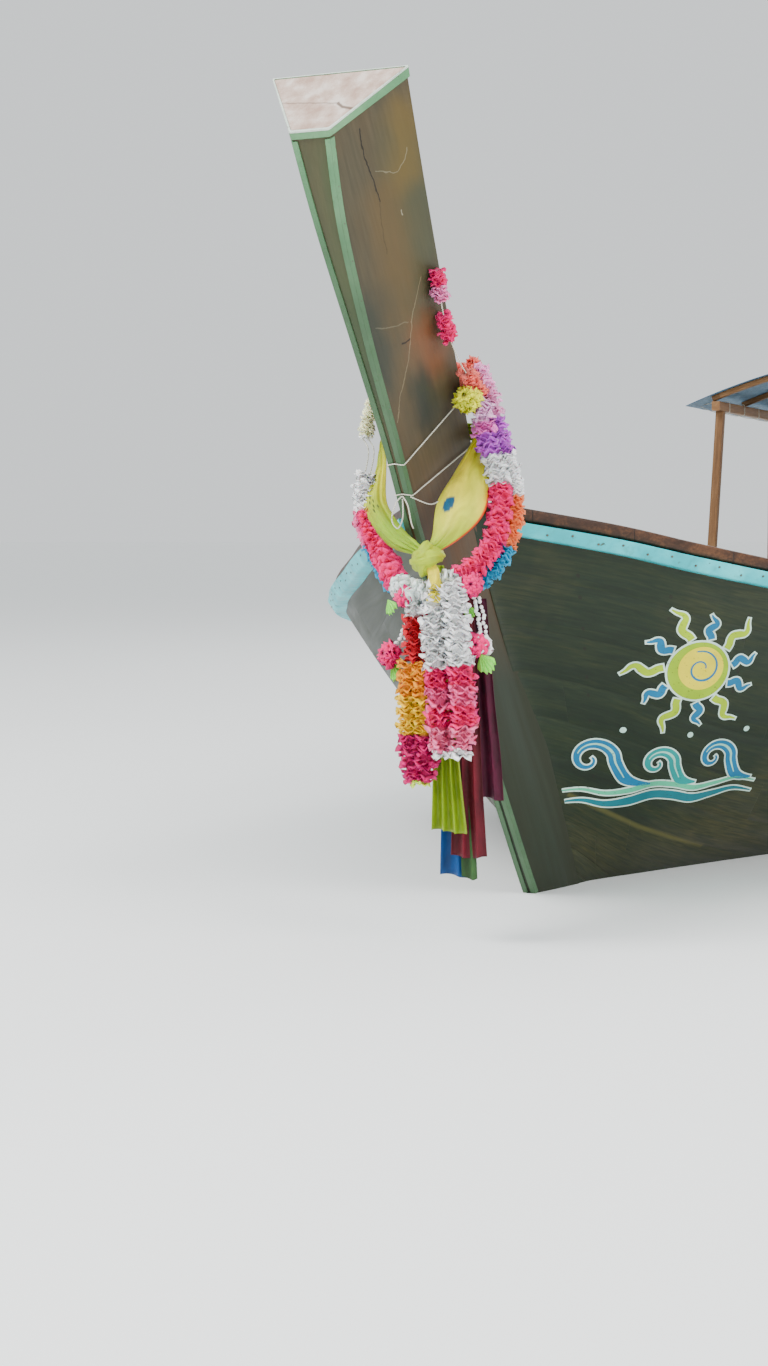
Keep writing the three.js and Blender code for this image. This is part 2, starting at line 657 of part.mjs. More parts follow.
let cradle = box(380, 420, -RAIL_FAR, RAIL_FAR, -100, -40);
for (const s of [-1, 1]) {
  const near = Math.min(s * RAIL_NEAR, s * RAIL_FAR);
  const far = Math.max(s * RAIL_NEAR, s * RAIL_FAR);
  cradle = cradle.add(box(-450, 420, near, far, -100, -40));
  cradle = cradle.add(box(-55, 55, near, far, -100, 30));
  cradle = cradle.add(rod([0, s * 200, 0], [0, s * 262, 0], 20, 20, 24));
  cradle = cradle.add(rod([0, s * 255, 0], [0, s * 268, 0], 32, 32, 24));
  cradle = cradle.add(rod([0, s * 190, 0], [0, s * 220, 0], 34, 34, 24));
}
const saddle = box(-450, -425, -RAIL_FAR, RAIL_FAR, -100, 20)
  .subtract(turned(bellProfile, GAP));
cradle = cradle.add(saddle);
putTipped('tilt_cradle', cradle, 0x3c4347, 0.55, 0.7);

let block = join(
  box(-300, 280, -150, 150, -60, 300),
  box(-280, 200, -110, 110, -220, -59),
  box(-300, -270, -165, 165, -165, 165),
);
for (const x of [-230, 210]) {
  block = block.add(box(x - 35, x + 35, -RAIL_FAR, RAIL_FAR, -40 + GAP, -22));
}
for (let n = 0; n < 4; n += 1) {
  block = block.add(rod([-215 + n * 140, 0, 150], [-215 + n * 140, -162, 150], 26, 26, 16));
}
putTipped('engine_block', block, 0x3f5d4c, 0.5, 0.4);
const head = join(
  box(-290, 270, -120, 120, 300 + GAP, 395),
  box(-270, 250, -95, 60, 394, 460),
  rod([160, -20, 455], [160, -20, 482], 24, 24, 20),
);
putTipped('cylinder_head', head, 0x9aa0a0, 0.45, 0.7);

// Port side: exhaust manifold and its upright pipe
const EXHAUST = [[120, 205, 355], [60, 210, 430], [40, 212, 600], [40, 212, 940]];
const exhaust = join(
  box(-250, 230, 175, 240, 325, 385),
  ...[-215, -75, 65, 205].map((x) => box(x - 22, x + 22, 120 + GAP, 180, 335, 375)),
  tube(EXHAUST, 34, 16),
  rod([40, 212, 560], [40, 212, 840], 55, 55, 24),
);
putTipped('exhaust_pipe', exhaust, 0x6b4a39, 0.8, 0.5);

// Starboard side: intake trunk with its filter can, alternator below it
const intake = join(
  box(-250, 230, -235, -180, 325, 380),
  ...[-215, -75, 65, 205].map((x) => box(x - 24, x + 24, -182, -120 - GAP, 332, 374)),
  tube([[-150, -208, 375], [-150, -208, 440], [-110, -208, 480]], 30, 12),
  rod([-110, -208, 480], [90, -208, 480], 75, 75, 28),
);
putTipped('air_intake', intake, 0x2f3436, 0.5, 0.3);
const alternator = join(
  rod([110, -225, 150], [235, -225, 150], 62, 62, 24),
  box(112, 158, -180, -150 - GAP, 130, 170),
  rod([235, -225, 150], [306, -225, 150], 12, 12, 16),
);
putTipped('alternator', alternator, 0xa8aaa6, 0.4, 0.8);

// Belt round three pulleys at the engine's forward end
const PULLEYS = [
  { y: 0, z: 0, r: 75 },
  { y: -225, z: 150, r: 36 },
  { y: 0, z: 235, r: 55 },
];
const hub = (p, x0, x1, r) => rod([x0, p.y, p.z], [x1, p.y, p.z], r, r, 28);
const beltLoop = (grow) => {
  const shape = new THREE.Shape();
  const outline = [];
  for (const p of PULLEYS) {
    for (let n = 0; n < 28; n += 1) {
      const a = (2 * Math.PI * n) / 28;
      outline.push(new THREE.Vector2(p.y + (p.r + grow) * Math.cos(a),
        p.z + (p.r + grow) * Math.sin(a)));
    }
  }
  outline.sort((a, b) => a.x - b.x || a.y - b.y);
  const turn = (o, a, b) => (a.x - o.x) * (b.y - o.y) - (a.y - o.y) * (b.x - o.x);
  const half = (list) => {
    const chain = [];
    for (const p of list) {
      while (chain.length > 1 && turn(chain[chain.length - 2], chain[chain.length - 1], p) <= 0) {
        chain.pop();
      }
      chain.push(p);
    }
    return chain.slice(0, -1);
  };
  const hull = [...half(outline), ...half([...outline].reverse())];
  shape.setFromPoints(hull);
  const geometry = new THREE.ExtrudeGeometry(shape, { depth: 14, bevelEnabled: false });
  geometry.applyMatrix4(new THREE.Matrix4().makeBasis(new THREE.Vector3(0, 1, 0),
    new THREE.Vector3(0, 0, 1), new THREE.Vector3(1, 0, 0)));
  geometry.translate(308, 0, 0);
  return manifoldOf(geometry);
};
const beltDrive = join(
  beltLoop(5).subtract(beltLoop(-1)),
  ...PULLEYS.map((p) => hub(p, 304, 326, p.r)),
  hub(PULLEYS[0], 280 + GAP, 310, 22),
  hub(PULLEYS[2], 280 + GAP, 310, 18),
).subtract(rod([230, -225, 150], [306 + GAP, -225, 150], 12 + GAP, 12 + GAP, 16));
putTipped('belt_drive', beltDrive, 0x2b2c2e, 0.6, 0.3);

putTipped('bell_housing', turned(bellProfile), 0x84898a, 0.45, 0.8);

// Tail: tube with its flange, guard fin, and the screw
const TUBE_START = -590 - GAP;
const TUBE_END = -TAIL_LENGTH + 75;
const SHAFT_HOLE = 19;
const tail = join(
  rod([TUBE_START, 0, 0], [TUBE_START - 22, 0, 0], 75, 75, 28),
  rod([TUBE_START, 0, 0], [-1100, 0, 0], 46, 46, 28),
  rod([-1090, 0, 0], [TUBE_END, 0, 0], 36, 36, 28),
  rod([TUBE_END + 140, 0, 0], [TUBE_END, 0, 0], 44, 44, 28),
  box(-900, -610, -7, 7, 40, 110),
).subtract(rod([TUBE_END + 60, 0, 0], [TUBE_END - 20, 0, 0], SHAFT_HOLE, SHAFT_HOLE, 20));
const finShape = new THREE.Shape();
finShape.setFromPoints([[-3480, -25], [-4010, -25], [-4010, -44], [-4130, -250], [-4060, -265],
  [-3860, -150], [-3620, -60]].map(([x, z]) => new THREE.Vector2(x, z)));
const finGeometry = new THREE.ExtrudeGeometry(finShape, { depth: 8, bevelEnabled: false });
finGeometry.rotateX(Math.PI / 2);
finGeometry.translate(0, 4, 0);
putTipped('tail_tube', tail.add(manifoldOf(finGeometry)), 0x6f7678, 0.45, 0.8);

const HUB_START = -TAIL_LENGTH + 40;
const HUB_END = -TAIL_LENGTH - 50;
let propeller = join(
  rod([TUBE_END + 50, 0, 0], [HUB_START, 0, 0], SHAFT_HOLE - GAP, SHAFT_HOLE - GAP, 20),
  rod([HUB_START, 0, 0], [HUB_END, 0, 0], 30, 30, 24),
  rod([HUB_END, 0, 0], [HUB_END - 35, 0, 0], 30, 8, 24),
);
for (let n = 0; n < 3; n += 1) {
  const rings = [];
  const spin = (2 * Math.PI * n) / 3;
  for (let k = 0; k <= 6; k += 1) {
    const radius = 20 + ((PROPELLER_RADIUS - 20) * k) / 6;
    const chord = 34 + 62 * Math.sin(Math.PI * Math.min(0.92, 0.12 + (0.8 * k) / 6));
    const pitch = Math.atan2(200, 2 * Math.PI * radius);
    const thick = 9 - k;
    rings.push([[-1, -1], [1, -1], [1, 1], [-1, 1]].map(([s, t]) => {
      const along = (s * chord * Math.sin(pitch)) / 2 + (t * thick * Math.cos(pitch)) / 2;
      const round = (s * chord * Math.cos(pitch)) / 2 - (t * thick * Math.sin(pitch)) / 2;
      const angle = spin + round / radius;
      return [-TAIL_LENGTH - 5 + along, radius * Math.cos(angle), radius * Math.sin(angle)];
    }));
  }
  propeller = propeller.add(loft(rings));
}
putTipped('propeller', propeller, 0xb08a4a, 0.35, 0.9);

// Tiller: a long pipe forward from the cradle, with its grip and throttle lever
const tiller = join(
  tube([[420 + GAP, 0, -70], [620, 0, -110], [1100, 0, -240], [1480, 0, -345]], 21, 16),
  rod([1380, 0, -317], [1530, 0, -359], 27, 27, 20),
  rod([421, 0, -70], [440, 0, -70], 40, 40, 20),
  bar([1330, 0, -305], [1370, 0, -215], 14, 6),
);
putTipped('tiller_handle', tiller.intersect(box(420 + GAP, 2000, -200, 200, -500, 200)),
  0x8b8f90, 0.4, 0.9);

// Fuel tank and battery on the after deck
const deckTop = AFT_DECK_Z + DECK_THICK + GAP;
put('fuel_tank', join(
  box(-4080, -3680, 330, 570, deckTop, deckTop + 270),
  rod([-3960, 450, deckTop + 265], [-3960, 450, deckTop + 300], 32, 32, 24),
  box(-3860, -3730, 438, 462, deckTop + 265, deckTop + 310)
    .subtract(box(-3835, -3755, 430, 470, deckTop + 272, deckTop + 292)),
), 0xb4442f, 0.5, 0);
put('battery_box', join(
  box(-4020, -3720, -560, -380, deckTop, deckTop + 200),
  box(-4030, -3710, -570, -370, deckTop + 199, deckTop + 225),
  rod([-3960, -470, deckTop + 220], [-3960, -470, deckTop + 240], 12, 12, 16),
  rod([-3780, -470, deckTop + 220], [-3780, -470, deckTop + 240], 12, 12, 16),
), 0x2a2d30, 0.55, 0);

// Garlands and cloths on the prow: x from the stem's foot, simple stand-in solids
const onBow = (rows) => rows.map(([x, y, z]) => [x + STEM_FOOT_X, y, z]);

// Garland: a loop over the prow, a short end up the after port edge, and two tassels
const FLOWER_PATH = onBow([
  [776, 0, 1500], [785, 120, 1482], [800, 174, 1410], [800, 194, 1320], [804, 231, 1204],
  [842, 250, 1101], [900, 232, 999], [950, 150, 932], [960, 70, 907], [930, 5, 925],
  [870, -62, 975], [802, -146, 1076], [770, -174, 1183], [758, -184, 1316], [765, -140, 1445],
]);
const FLOWER_RADIUS = 43;
const UPPER_PATH = onBow([[1040, 150, 1716], [975, 142, 1600], [900, 152, 1500], [812, 170, 1430]]);
const TASSELS = [
  { top: [925, 205, 960], mid: [930, 226, 900], end: [932, 230, 830], low: [932, 230, 755] },
  { top: [905, -8, 925], mid: [922, -36, 870], end: [928, -44, 810], low: [928, -44, 740] },
];
const flowerBody = (grow) => join(
  tube(FLOWER_PATH, FLOWER_RADIUS + grow, 8, true),
  tube(UPPER_PATH, 32 + grow, 8),
  ...TASSELS.flatMap(({ top, mid, end, low }) => {
    const [a, b, c, d] = onBow([top, mid, end, low]);
    return [tube([a, b, c], 9 + grow, 6), rod(c, d, 20 + grow, 28 + grow, 8)];
  }),
);
put('flower_loop', flowerBody(0).subtract(stemClear), 0xd0508a, 0.9, 0);
const flowerClear = flowerBody(GAP);

// Hanging strands as upright oval columns: x, y, z, and half sizes along x and y
function column(rows, grow = 0) {
  return loft(rows.map(([x, y, z, rx, ry]) => Array.from({ length: 10 }, (_, i) => {
    const angle = (2 * Math.PI * (i + 0.5)) / 10;
    return [x + STEM_FOOT_X + (rx + grow) * Math.cos(angle),
      y + (ry + grow) * Math.sin(angle), z];
  })));
}
const WHITE_PINK = [
  [990, 150, 915, 34, 64], [990, 156, 800, 40, 78], [988, 164, 710, 40, 70],
  [988, 170, 600, 40, 66], [988, 170, 505, 34, 52],
];
const RED_GOLD = [
  [956, 52, 900, 32, 40], [956, 54, 780, 38, 46], [956, 58, 600, 38, 52], [956, 60, 425, 34, 44],
];
const whiteClear = column(WHITE_PINK, GAP);
put('white_pink_strand', column(WHITE_PINK).subtract(flowerClear), 0xe9b7c8, 0.9, 0);
put('red_gold_strand', column(RED_GOLD).subtract(flowerClear).subtract(whiteClear),
  0xd07a2a, 0.9, 0);

// Scarf: a band round the prow, from outer edge a to inner edge b, knotted in front
const SCARF_EDGES = [
  { a: [708, 0, 1314], b: [736, 0, 1356] },
  { a: [702, 124, 1308], b: [732, 128, 1350] },
  { a: [742, 150, 1280], b: [760, 128, 1306] },
  { a: [792, 191, 1226], b: [820, 100, 1217] },
  { a: [858, 208, 1130], b: [885, 84, 1145] },
  { a: [915, 180, 1068], b: [942, 94, 1056] },
  { a: [965, 110, 1016], b: [970, 84, 1030] },
  { a: [930, 27, 1019], b: [940, 43, 1050] },
  { a: [868, -66, 1075], b: [884, -26, 1110] },
  { a: [806, -120, 1138], b: [840, -80, 1150] },
  { a: [775, -126, 1213], b: [800, -98, 1205] },
  { a: [728, -128, 1285], b: [742, -124, 1318] },
  { a: [702, -124, 1308], b: [732, -128, 1350] },
];
const SCARF_HALF = 5;
function band(edges, looped) {
  const rings = [];
  for (let k = 0; k < edges.length; k += 1) {
    const [a, b] = onBow([edges[k].a, edges[k].b]).map((p) => new THREE.Vector3(...p));
    const last = edges.length - 1;
    const before = edges[looped ? (k + last) % edges.length : Math.max(k - 1, 0)];
    const after = edges[looped ? (k + 1) % edges.length : Math.min(k + 1, last)];
    const along = new THREE.Vector3(...after.a).add(new THREE.Vector3(...after.b))
      .sub(new THREE.Vector3(...before.a)).sub(new THREE.Vector3(...before.b));
    const out = along.cross(b.clone().sub(a)).setLength(SCARF_HALF);
    rings.push([a.clone().add(out), b.clone().add(out), b.clone().sub(out), a.clone().sub(out)]
      .map((p) => p.toArray()));
  }
  return loft(rings, looped);
}
const KNOT = onBow([[966, 92, 1002]])[0];
const knotGeometry = new THREE.SphereGeometry(42, 12, 8);
knotGeometry.translate(...KNOT);
const greenTail = band([
  { a: [950, 125, 1000], b: [950, 60, 1000] },
  { a: [896, 140, 985], b: [896, 70, 985] },
  { a: [893, 165, 900], b: [893, 95, 900] },
  { a: [893, 182, 300], b: [893, 88, 300] },
], false);
const scarf = join(band(SCARF_EDGES, true), manifoldOf(knotGeometry), greenTail)
  .subtract(stemClear).subtract(flowerClear).subtract(whiteClear)
  .subtract(column(RED_GOLD, GAP));
put('scarf', scarf, 0xb5c33a, 0.9, 0);

const hanging = (x, y, width, top, bottom) => box(STEM_FOOT_X + x - 4, STEM_FOOT_X + x + 4,
  y - width / 2, y + width / 2, bottom, top).subtract(flowerClear);
put('maroon_tail', hanging(883.7, 178, 80, 960, 235), 0x6d2236, 0.9, 0);
put('blue_tail', hanging(875.4, 140, 104, 900, 180), 0x2f5fa8, 0.9, 0);

export default group;
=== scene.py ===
# %% [markdown]
# A wooden longtail boat lies afloat, seen from the water ahead of its port bow.
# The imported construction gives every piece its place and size. What is added here is
# the look: planks with seams and worn varnish, painted rails, flower garlands and cloths
# on the prow, and the finish and small fittings of the engine and its long tail.

# %% Load the frame
import functools
import math

import bmesh
import bpy
import numpy as np
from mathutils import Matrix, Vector


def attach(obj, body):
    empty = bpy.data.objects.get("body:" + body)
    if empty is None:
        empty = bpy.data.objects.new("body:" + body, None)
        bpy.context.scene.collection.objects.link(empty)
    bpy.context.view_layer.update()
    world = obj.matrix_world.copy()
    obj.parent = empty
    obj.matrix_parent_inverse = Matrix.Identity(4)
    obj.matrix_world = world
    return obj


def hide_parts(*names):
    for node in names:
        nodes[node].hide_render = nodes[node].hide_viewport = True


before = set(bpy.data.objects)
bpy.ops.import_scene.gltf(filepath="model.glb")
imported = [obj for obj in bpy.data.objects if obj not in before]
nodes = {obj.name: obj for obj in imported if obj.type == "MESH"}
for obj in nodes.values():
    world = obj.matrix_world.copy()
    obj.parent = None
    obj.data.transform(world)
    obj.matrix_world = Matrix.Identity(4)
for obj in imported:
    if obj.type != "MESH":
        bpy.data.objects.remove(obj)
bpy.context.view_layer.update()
MM = 0.001
floats = functools.partial(np.asarray, dtype=float)

# %% [markdown]
# Every shape below is a grid of points worked out with numpy, and every finish is a set
# of shader nodes. Colours are written as sRGB hex values, as a paint card gives them, so
# one function turns them to the linear values that shaders use.

# %% Colour and node helpers
def linear(hex_colour):
    """sRGB to linear: c / 12.92 up to 0.04045, and ((c + 0.055) / 1.055) ** 2.4 above."""
    digits = hex_colour.lstrip("#")
    srgb = np.array([int(digits[i:i + 2], 16) / 255 for i in (0, 2, 4)])
    value = np.where(srgb <= 0.04045, srgb / 12.92, ((srgb + 0.055) / 1.055) ** 2.4)
    return (*value.tolist(), 1.0)


def give(socket, value):
    """Gives an input a number, a hex colour, an output, or a node's first output in use."""
    if isinstance(value, bpy.types.Node):
        value = next(out for out in value.outputs if out.enabled)
    if isinstance(value, bpy.types.NodeSocket):
        socket.id_data.links.new(value, socket)
    else:
        socket.default_value = linear(value) if isinstance(value, str) else value


def add(material, kind, inputs=(), mode=None, stops=(), **settings):
    """Adds one node, sets its options, and gives its inputs their values or links.

    Inputs go by name, or in the order of those in use. Plain ramp colours run from 0.3 to 0.7.
    """
    made = material.node_tree.nodes.new("ShaderNode" + kind)
    if mode:
        settings["operation" if hasattr(made, "operation") else "data_type"] = mode
    for name, value in settings.items():
        setattr(made, name, value)
    if not isinstance(inputs, dict):
        in_use = [name for name, socket in enumerate(made.inputs) if socket.enabled]
        inputs = dict(zip(in_use, inputs))
    for name, value in inputs.items():
        give(made.inputs[name], value)
    if stops and isinstance(stops[0], str):
        stops = list(zip(np.linspace(0.3, 0.7, len(stops)), stops))
    if stops:
        ramp = made.color_ramp.elements
        while len(ramp) < len(stops):
            ramp.new(0.5)
        for element, (position, colour) in zip(ramp, stops):
            element.position = position
            element.color = linear(colour)
    return made


def new_finish(name, inputs):
    """A material, its Principled shader with fixed values, and the function that adds its nodes."""
    material = bpy.data.materials.new(name)
    material.use_nodes = True
    material.node_tree.nodes.clear()
    node = functools.partial(add, material)
    shader = node("BsdfPrincipled", inputs)
    node("OutputMaterial", {"Surface": shader})
    return material, shader, node


def feed(shader, *values):
    """Links the shader's colour, roughness and relief, in that order."""
    for name, value in zip(("Base Color", "Roughness", "Normal"), values):
        give(shader.inputs[name], value)


# %% [markdown]
# A grid of points becomes quads by joining each point to its neighbours. Rings close on
# themselves by wrapping the last column to the first. The corner's row and column, taken
# before wrapping, give a UV map without a smear at the seam.

# %% Grid and mesh helpers
def patch(points, wrap=(False, False), uv=None, tint=None, ends=False, kind=0):
    """Quads of one grid, or of a stack of equal grids, with UVs and a tint a point.

    Corner (row, column) of a quad has UV (u[row], v[column]); ends closes rings.
    """
    points = floats(points)
    rows, columns = points.shape[-3:-1]
    copies = points.reshape(-1, rows * columns, 3)
    i, j = np.meshgrid(np.arange(rows - (not wrap[0])), np.arange(columns - (not wrap[1])), indexing="ij")
    row = np.stack([i, i + 1, i + 1, i], -1).reshape(-1, 4)
    column = np.stack([j, j, j + 1, j + 1], -1).reshape(-1, 4)
    quad = (row % rows) * columns + column % columns
    shift = (np.arange(len(copies)) * rows * columns)[:, None, None]
    u, v = uv if uv else (np.arange(rows + 1.0), np.arange(columns + 1.0))
    corner = np.stack([np.asarray(u)[row], np.asarray(v)[column]], -1)
    faces = (quad[None] + shift).reshape(-1, 4).tolist()
    corners = np.tile(corner.reshape(-1, 2), (len(copies), 1))
    if ends:
        ring = np.arange(columns)
        last = (rows - 1) * columns
        ring_uv = np.stack([np.full(columns, 0.5), ring / columns], -1)
        for step in shift[:, 0, 0]:
            faces += [(ring[::-1] + step).tolist(), (ring + last + step).tolist()]
            corners = np.concatenate([corners, ring_uv, ring_uv])
    if tint is None:
        tint = np.ones((*points.shape[:-1], 3))
    tint = np.broadcast_to(tint, points.shape).reshape(-1, 3)
    return {"points": copies.reshape(-1, 3), "faces": faces, "uv": corners, "tint": tint, "kind": kind}


def circle(angle):
    """Cosine and sine of angles, as points of a unit circle."""
    return np.stack([np.cos(angle), np.sin(angle)], -1)


def tube(rings, **more):
    """A row of rings, closed round and filled at both ends."""
    return patch(rings, wrap=(False, True), ends=True, **more)


def build(name, patches, finishes, body="hull", closed=True, sharp=None):
    """One object from patches: joins them, sets UVs, tints and finishes, and rides a body."""
    shift = np.cumsum([0] + [len(p["points"]) for p in patches])
    faces = [[n + s for n in face] for p, s in zip(patches, shift) for face in p["faces"]]
    mesh = bpy.data.meshes.new(name)
    mesh.from_pydata(np.concatenate([p["points"] for p in patches]), [], faces)
    layer = mesh.uv_layers.new(name="UVMap")
    layer.data.foreach_set("uv", np.concatenate([p["uv"] for p in patches]).ravel())
    tint = np.concatenate([p["tint"] for p in patches])
    colour = mesh.color_attributes.new("tint", "FLOAT_COLOR", "POINT")
    colour.data.foreach_set("color", np.c_[tint, np.ones(len(tint))].ravel())
    for finish in finishes:
        mesh.materials.append(finish)
    kinds = np.concatenate([np.full(len(p["faces"]), p["kind"]) for p in patches])
    mesh.polygons.foreach_set("material_index", kinds)
    mesh.shade_smooth()
    if closed:
        shell = bmesh.new()
        shell.from_mesh(mesh)
        bmesh.ops.recalc_face_normals(shell, faces=shell.faces)
        shell.to_mesh(mesh)
        shell.free()
    if sharp:
        mesh.set_sharp_from_angle(angle=math.radians(sharp))
    piece = bpy.data.objects.new(name, mesh)
    bpy.context.scene.collection.objects.link(piece)
    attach(piece, body)
    triangles = sum(len(face) - 2 for face in faces)
    print(f"{name}: {len(patches)} patches, {triangles} triangles")
    return piece


def turns(count):
    """Angles of a full turn in equal steps."""
    return np.linspace(0, 2 * np.pi, count, endpoint=False)


def unit(vectors):
    """Each vector divided by its length."""
    return vectors / np.maximum(np.linalg.norm(vectors, axis=-1, keepdims=True), 1e-9)


def through(rows, steps):
    """Smooth curve through rows: cubics whose slopes are half the neighbours' difference."""
    return curve_at(rows, np.linspace(0, len(rows) - 1, (len(rows) - 1) * steps + 1))


def curve_at(rows, u):
    """Value at u of that smooth curve, where row n is at u = n and end rows repeat."""
    rows = floats(rows)
    last = len(rows) - 1
    i = np.clip(np.floor(u).astype(int), 0, last - 1)
    t = (u - i)[..., None]
    before, a, b, after = [rows[np.clip(i + n, 0, last)] for n in (-1, 0, 1, 2)]
    slope_a = (b - before) / 2
    slope_b = (after - a) / 2
    cube = 2 * a - 2 * b + slope_a + slope_b
    square = 3 * (b - a) - 2 * slope_a - slope_b
    return ((cube * t + square) * t + slope_a) * t + a


def rounded(corners, radius, steps=4):
    """Polygon rings with round corners: each is a quadratic curve pulled to its corner."""
    before = unit(np.roll(corners, 1, -2) - corners)
    after = unit(np.roll(corners, -1, -2) - corners)
    t = np.linspace(0, 1, steps)[:, None]
    a = (corners + radius * before)[..., None, :]
    b = (corners + radius * after)[..., None, :]
    middle = corners[..., None, :]
    arcs = (1 - t) ** 2 * a + 2 * t * (1 - t) * middle + t ** 2 * b
    return arcs.reshape(*corners.shape[:-2], -1, 3)


def round_way(ring):
    """Distance travelled round a closed ring, back to its start."""
    return lengths(np.concatenate([ring, ring[:1]]))


def across(places):
    """Two directions square to a path, the first of them level."""
    tangent = unit(np.gradient(places, axis=0))
    level = np.cross(tangent, [0, 0, 1.0])
    flat = np.linalg.norm(level, axis=-1, keepdims=True) < 0.1
    level = unit(np.where(flat, [0, 1.0, 0], level))
    return tangent, level, unit(np.cross(level, tangent))


def rings_along(path, radius, sectors):
    """Rings round a path: place + (level cos a + up sin a) R, with R a number or a column."""
    _, level, up = across(path)
    angle = turns(sectors)[None, :, None]
    return path[:, None] + (level[:, None] * np.cos(angle) + up[:, None] * np.sin(angle)) * radius


def lengths(points):
    """Distance travelled along a row of points, starting at 0."""
    steps = np.linalg.norm(np.diff(points, axis=0), axis=-1)
    return np.concatenate([[0], np.cumsum(steps)])


# %% [markdown]
# The camera stands 1.05 m over the water, ahead of the port bow. Its place was found by
# matching the waterline, both gunwales and the prow of the photograph, with a lens of
# 58 mm on a 36 mm frame. The floor is pale and level with the water. It has an opening
# just inside the hull's skin, because the boat sinks below it and isn't flooded.

# %% Camera
EYE = (10.678, 2.354, 1.05)
VIEW = (-0.9044, -0.4217, -0.0649)
camera_data = bpy.data.cameras.new("camera")
camera_data.lens = 57.98
camera_data.sensor_width = 36
camera_data.clip_end = 2000
camera = bpy.data.objects.new("camera", camera_data)
camera.location = EYE
camera.rotation_euler = Vector(VIEW).to_track_quat("-Z", "Y").to_euler()
bpy.context.scene.collection.objects.link(camera)
bpy.context.scene.camera = camera
print("camera:", EYE)

# %% [markdown]
# The hull is a table of stations from bow to stern. At each, a sheer point, a bilge
# control point and a keel point draw one quadratic curve. A smooth cubic runs through
# the stations, so any point of the hull is a function of station number and height.

# %% Hull surface
STATIONS = np.array([
    # sheer x, y, z      bilge x, y, z      keel x, y, z      (mm)
    [5275, 80, 1132, 4620, 60, 292, 4378, 52, -25],
    [5200, 118, 1115, 4548, 92, 307, 4316, 68, -49],
    [4885, 355, 1058, 4370, 200, 240, 4130, 56, -158],
    [4665, 515, 1008, 4200, 290, 150, 3950, 50, -212],
    [4435, 660, 963, 3980, 375, 50, 3700, 48, -256],
    [4170, 830, 913, 3730, 470, -30, 3420, 47, -286],
    [3935, 960, 873, 3520, 540, -90, 3200, 47, -300],
    [3650, 1085, 823, 3270, 620, -150, 2950, 47, -312],
    [3100, 1175, 755, 2800, 770, -235, 2500, 47, -326],
    [2600, 1210, 715, 2370, 860, -280, 2150, 47, -332],
    [1600, 1230, 660, 1470, 950, -330, 1350, 47, -340],
    [0, 1215, 620, 0, 1000, -350, 0, 47, -345],
    [-1900, 1140, 640, -1900, 930, -335, -1900, 47, -330],
    [-3700, 990, 690, -3700, 780, -285, -3700, 47, -290],
    [-5200, 810, 760, -5004, 600, -200, -5000, 47, -220],
]) * MM
PLANK = 30 * MM
LAST = len(STATIONS) - 1


def hull(u, v):
    """Port side: (1 - v) ** 2 keel + 2 v (1 - v) bilge + v ** 2 sheer, at station u."""
    row = curve_at(STATIONS, u)
    v = v[..., None]
    return (1 - v) ** 2 * row[..., 6:] + 2 * v * (1 - v) * row[..., 3:6] + v ** 2 * row[..., :3]


def hull_out(u, v):
    """Outward direction of the port side: the step aft crossed with the step up."""
    step = 1e-3
    aft = hull(u + step, v) - hull(u - step, v)
    up = hull(u, v + step) - hull(u, v - step)
    return unit(np.cross(aft, up))


def sheer_side(u):
    """Level outward direction at the sheer."""
    out = hull_out(u, np.ones_like(u))
    out[..., 2] = 0
    return unit(out)


def hull_at(x, z):
    """Station and height (u, v) of the port side's point at x and z, by Newton's steps."""
    u = np.interp(-x, -STATIONS[:, 3], np.arange(LAST + 1))
    v = np.full_like(u, 0.6)
    step = 1e-4
    for _ in range(12):
        here = hull(u, v)
        by_u = (hull(u + step, v) - here) / step
        by_v = (hull(u, v + step) - here) / step
        miss_x = x - here[..., 0]
        miss_z = z - here[..., 2]
        det = by_u[..., 0] * by_v[..., 2] - by_v[..., 0] * by_u[..., 2]
        u = u + (miss_x * by_v[..., 2] - miss_z * by_v[..., 0]) / det
        v = v + (miss_z * by_u[..., 0] - miss_x * by_u[..., 2]) / det
    return u, v


STEM_FOOT = 4.6


def from_stem(points):
    """Points in mm from the stem's foot, as metres from the boat's middle."""
    return floats(points) * MM + [STEM_FOOT, 0, 0]


def sheer_at(x, axis):
    """One coordinate of the sheer line at places x."""
    return np.interp(-x, -sheer_line[:, 0], sheer_line[:, axis])


SIDES = {"port": np.array([1, 1, 1]), "starboard": np.array([1, -1, 1])}
sheer_line = hull(np.linspace(0, LAST, 169), np.ones(169))
print(f"hull: {sheer_line[0, 0] - sheer_line[-1, 0]:.2f} m long,", f"{2 * sheer_line[:, 1].max():.2f} m wide")

# %% Water-level floor and light
FLOOR_REACH = 900.0
water_x = np.linspace(STEM_FOOT - 0.35, -5.015, 60)
water_u, water_v = hull_at(water_x, np.zeros(60))
water_line = hull(water_u, water_v) - 0.014 * hull_out(water_u, water_v)
side_line = np.concatenate([[[STEM_FOOT - 0.02, 0, 0], [STEM_FOOT - 0.12, 0.03, 0]], water_line])
hole = np.concatenate([side_line, side_line[:0:-1] * SIDES["starboard"]])
hole[:, 2] = 0
far = unit(hole) * FLOOR_REACH
paper, paper_shader, node = new_finish("painted_studio_floor", {"Roughness": 0.7})
paper_grain = node("TexNoise", {"Scale": 3.0, "Detail": 2.0})
paper_tone = node("ValToRGB", [paper_grain], stops=[(0.0, "#f9fbfa"), (1.0, "#fcfdfc")])
feed(paper_shader, paper_tone)
floor = build("water_level_floor", [patch(np.stack([hole, far]), wrap=(False, True))], [paper], closed=False)
floor.parent = None
world = bpy.data.worlds.new("studio")
bpy.context.scene.world = world
world.use_nodes = True
world.node_tree.nodes["Background"].inputs["Color"].default_value = linear("#eef2f4")
world.node_tree.nodes["Background"].inputs["Strength"].default_value = 1.15
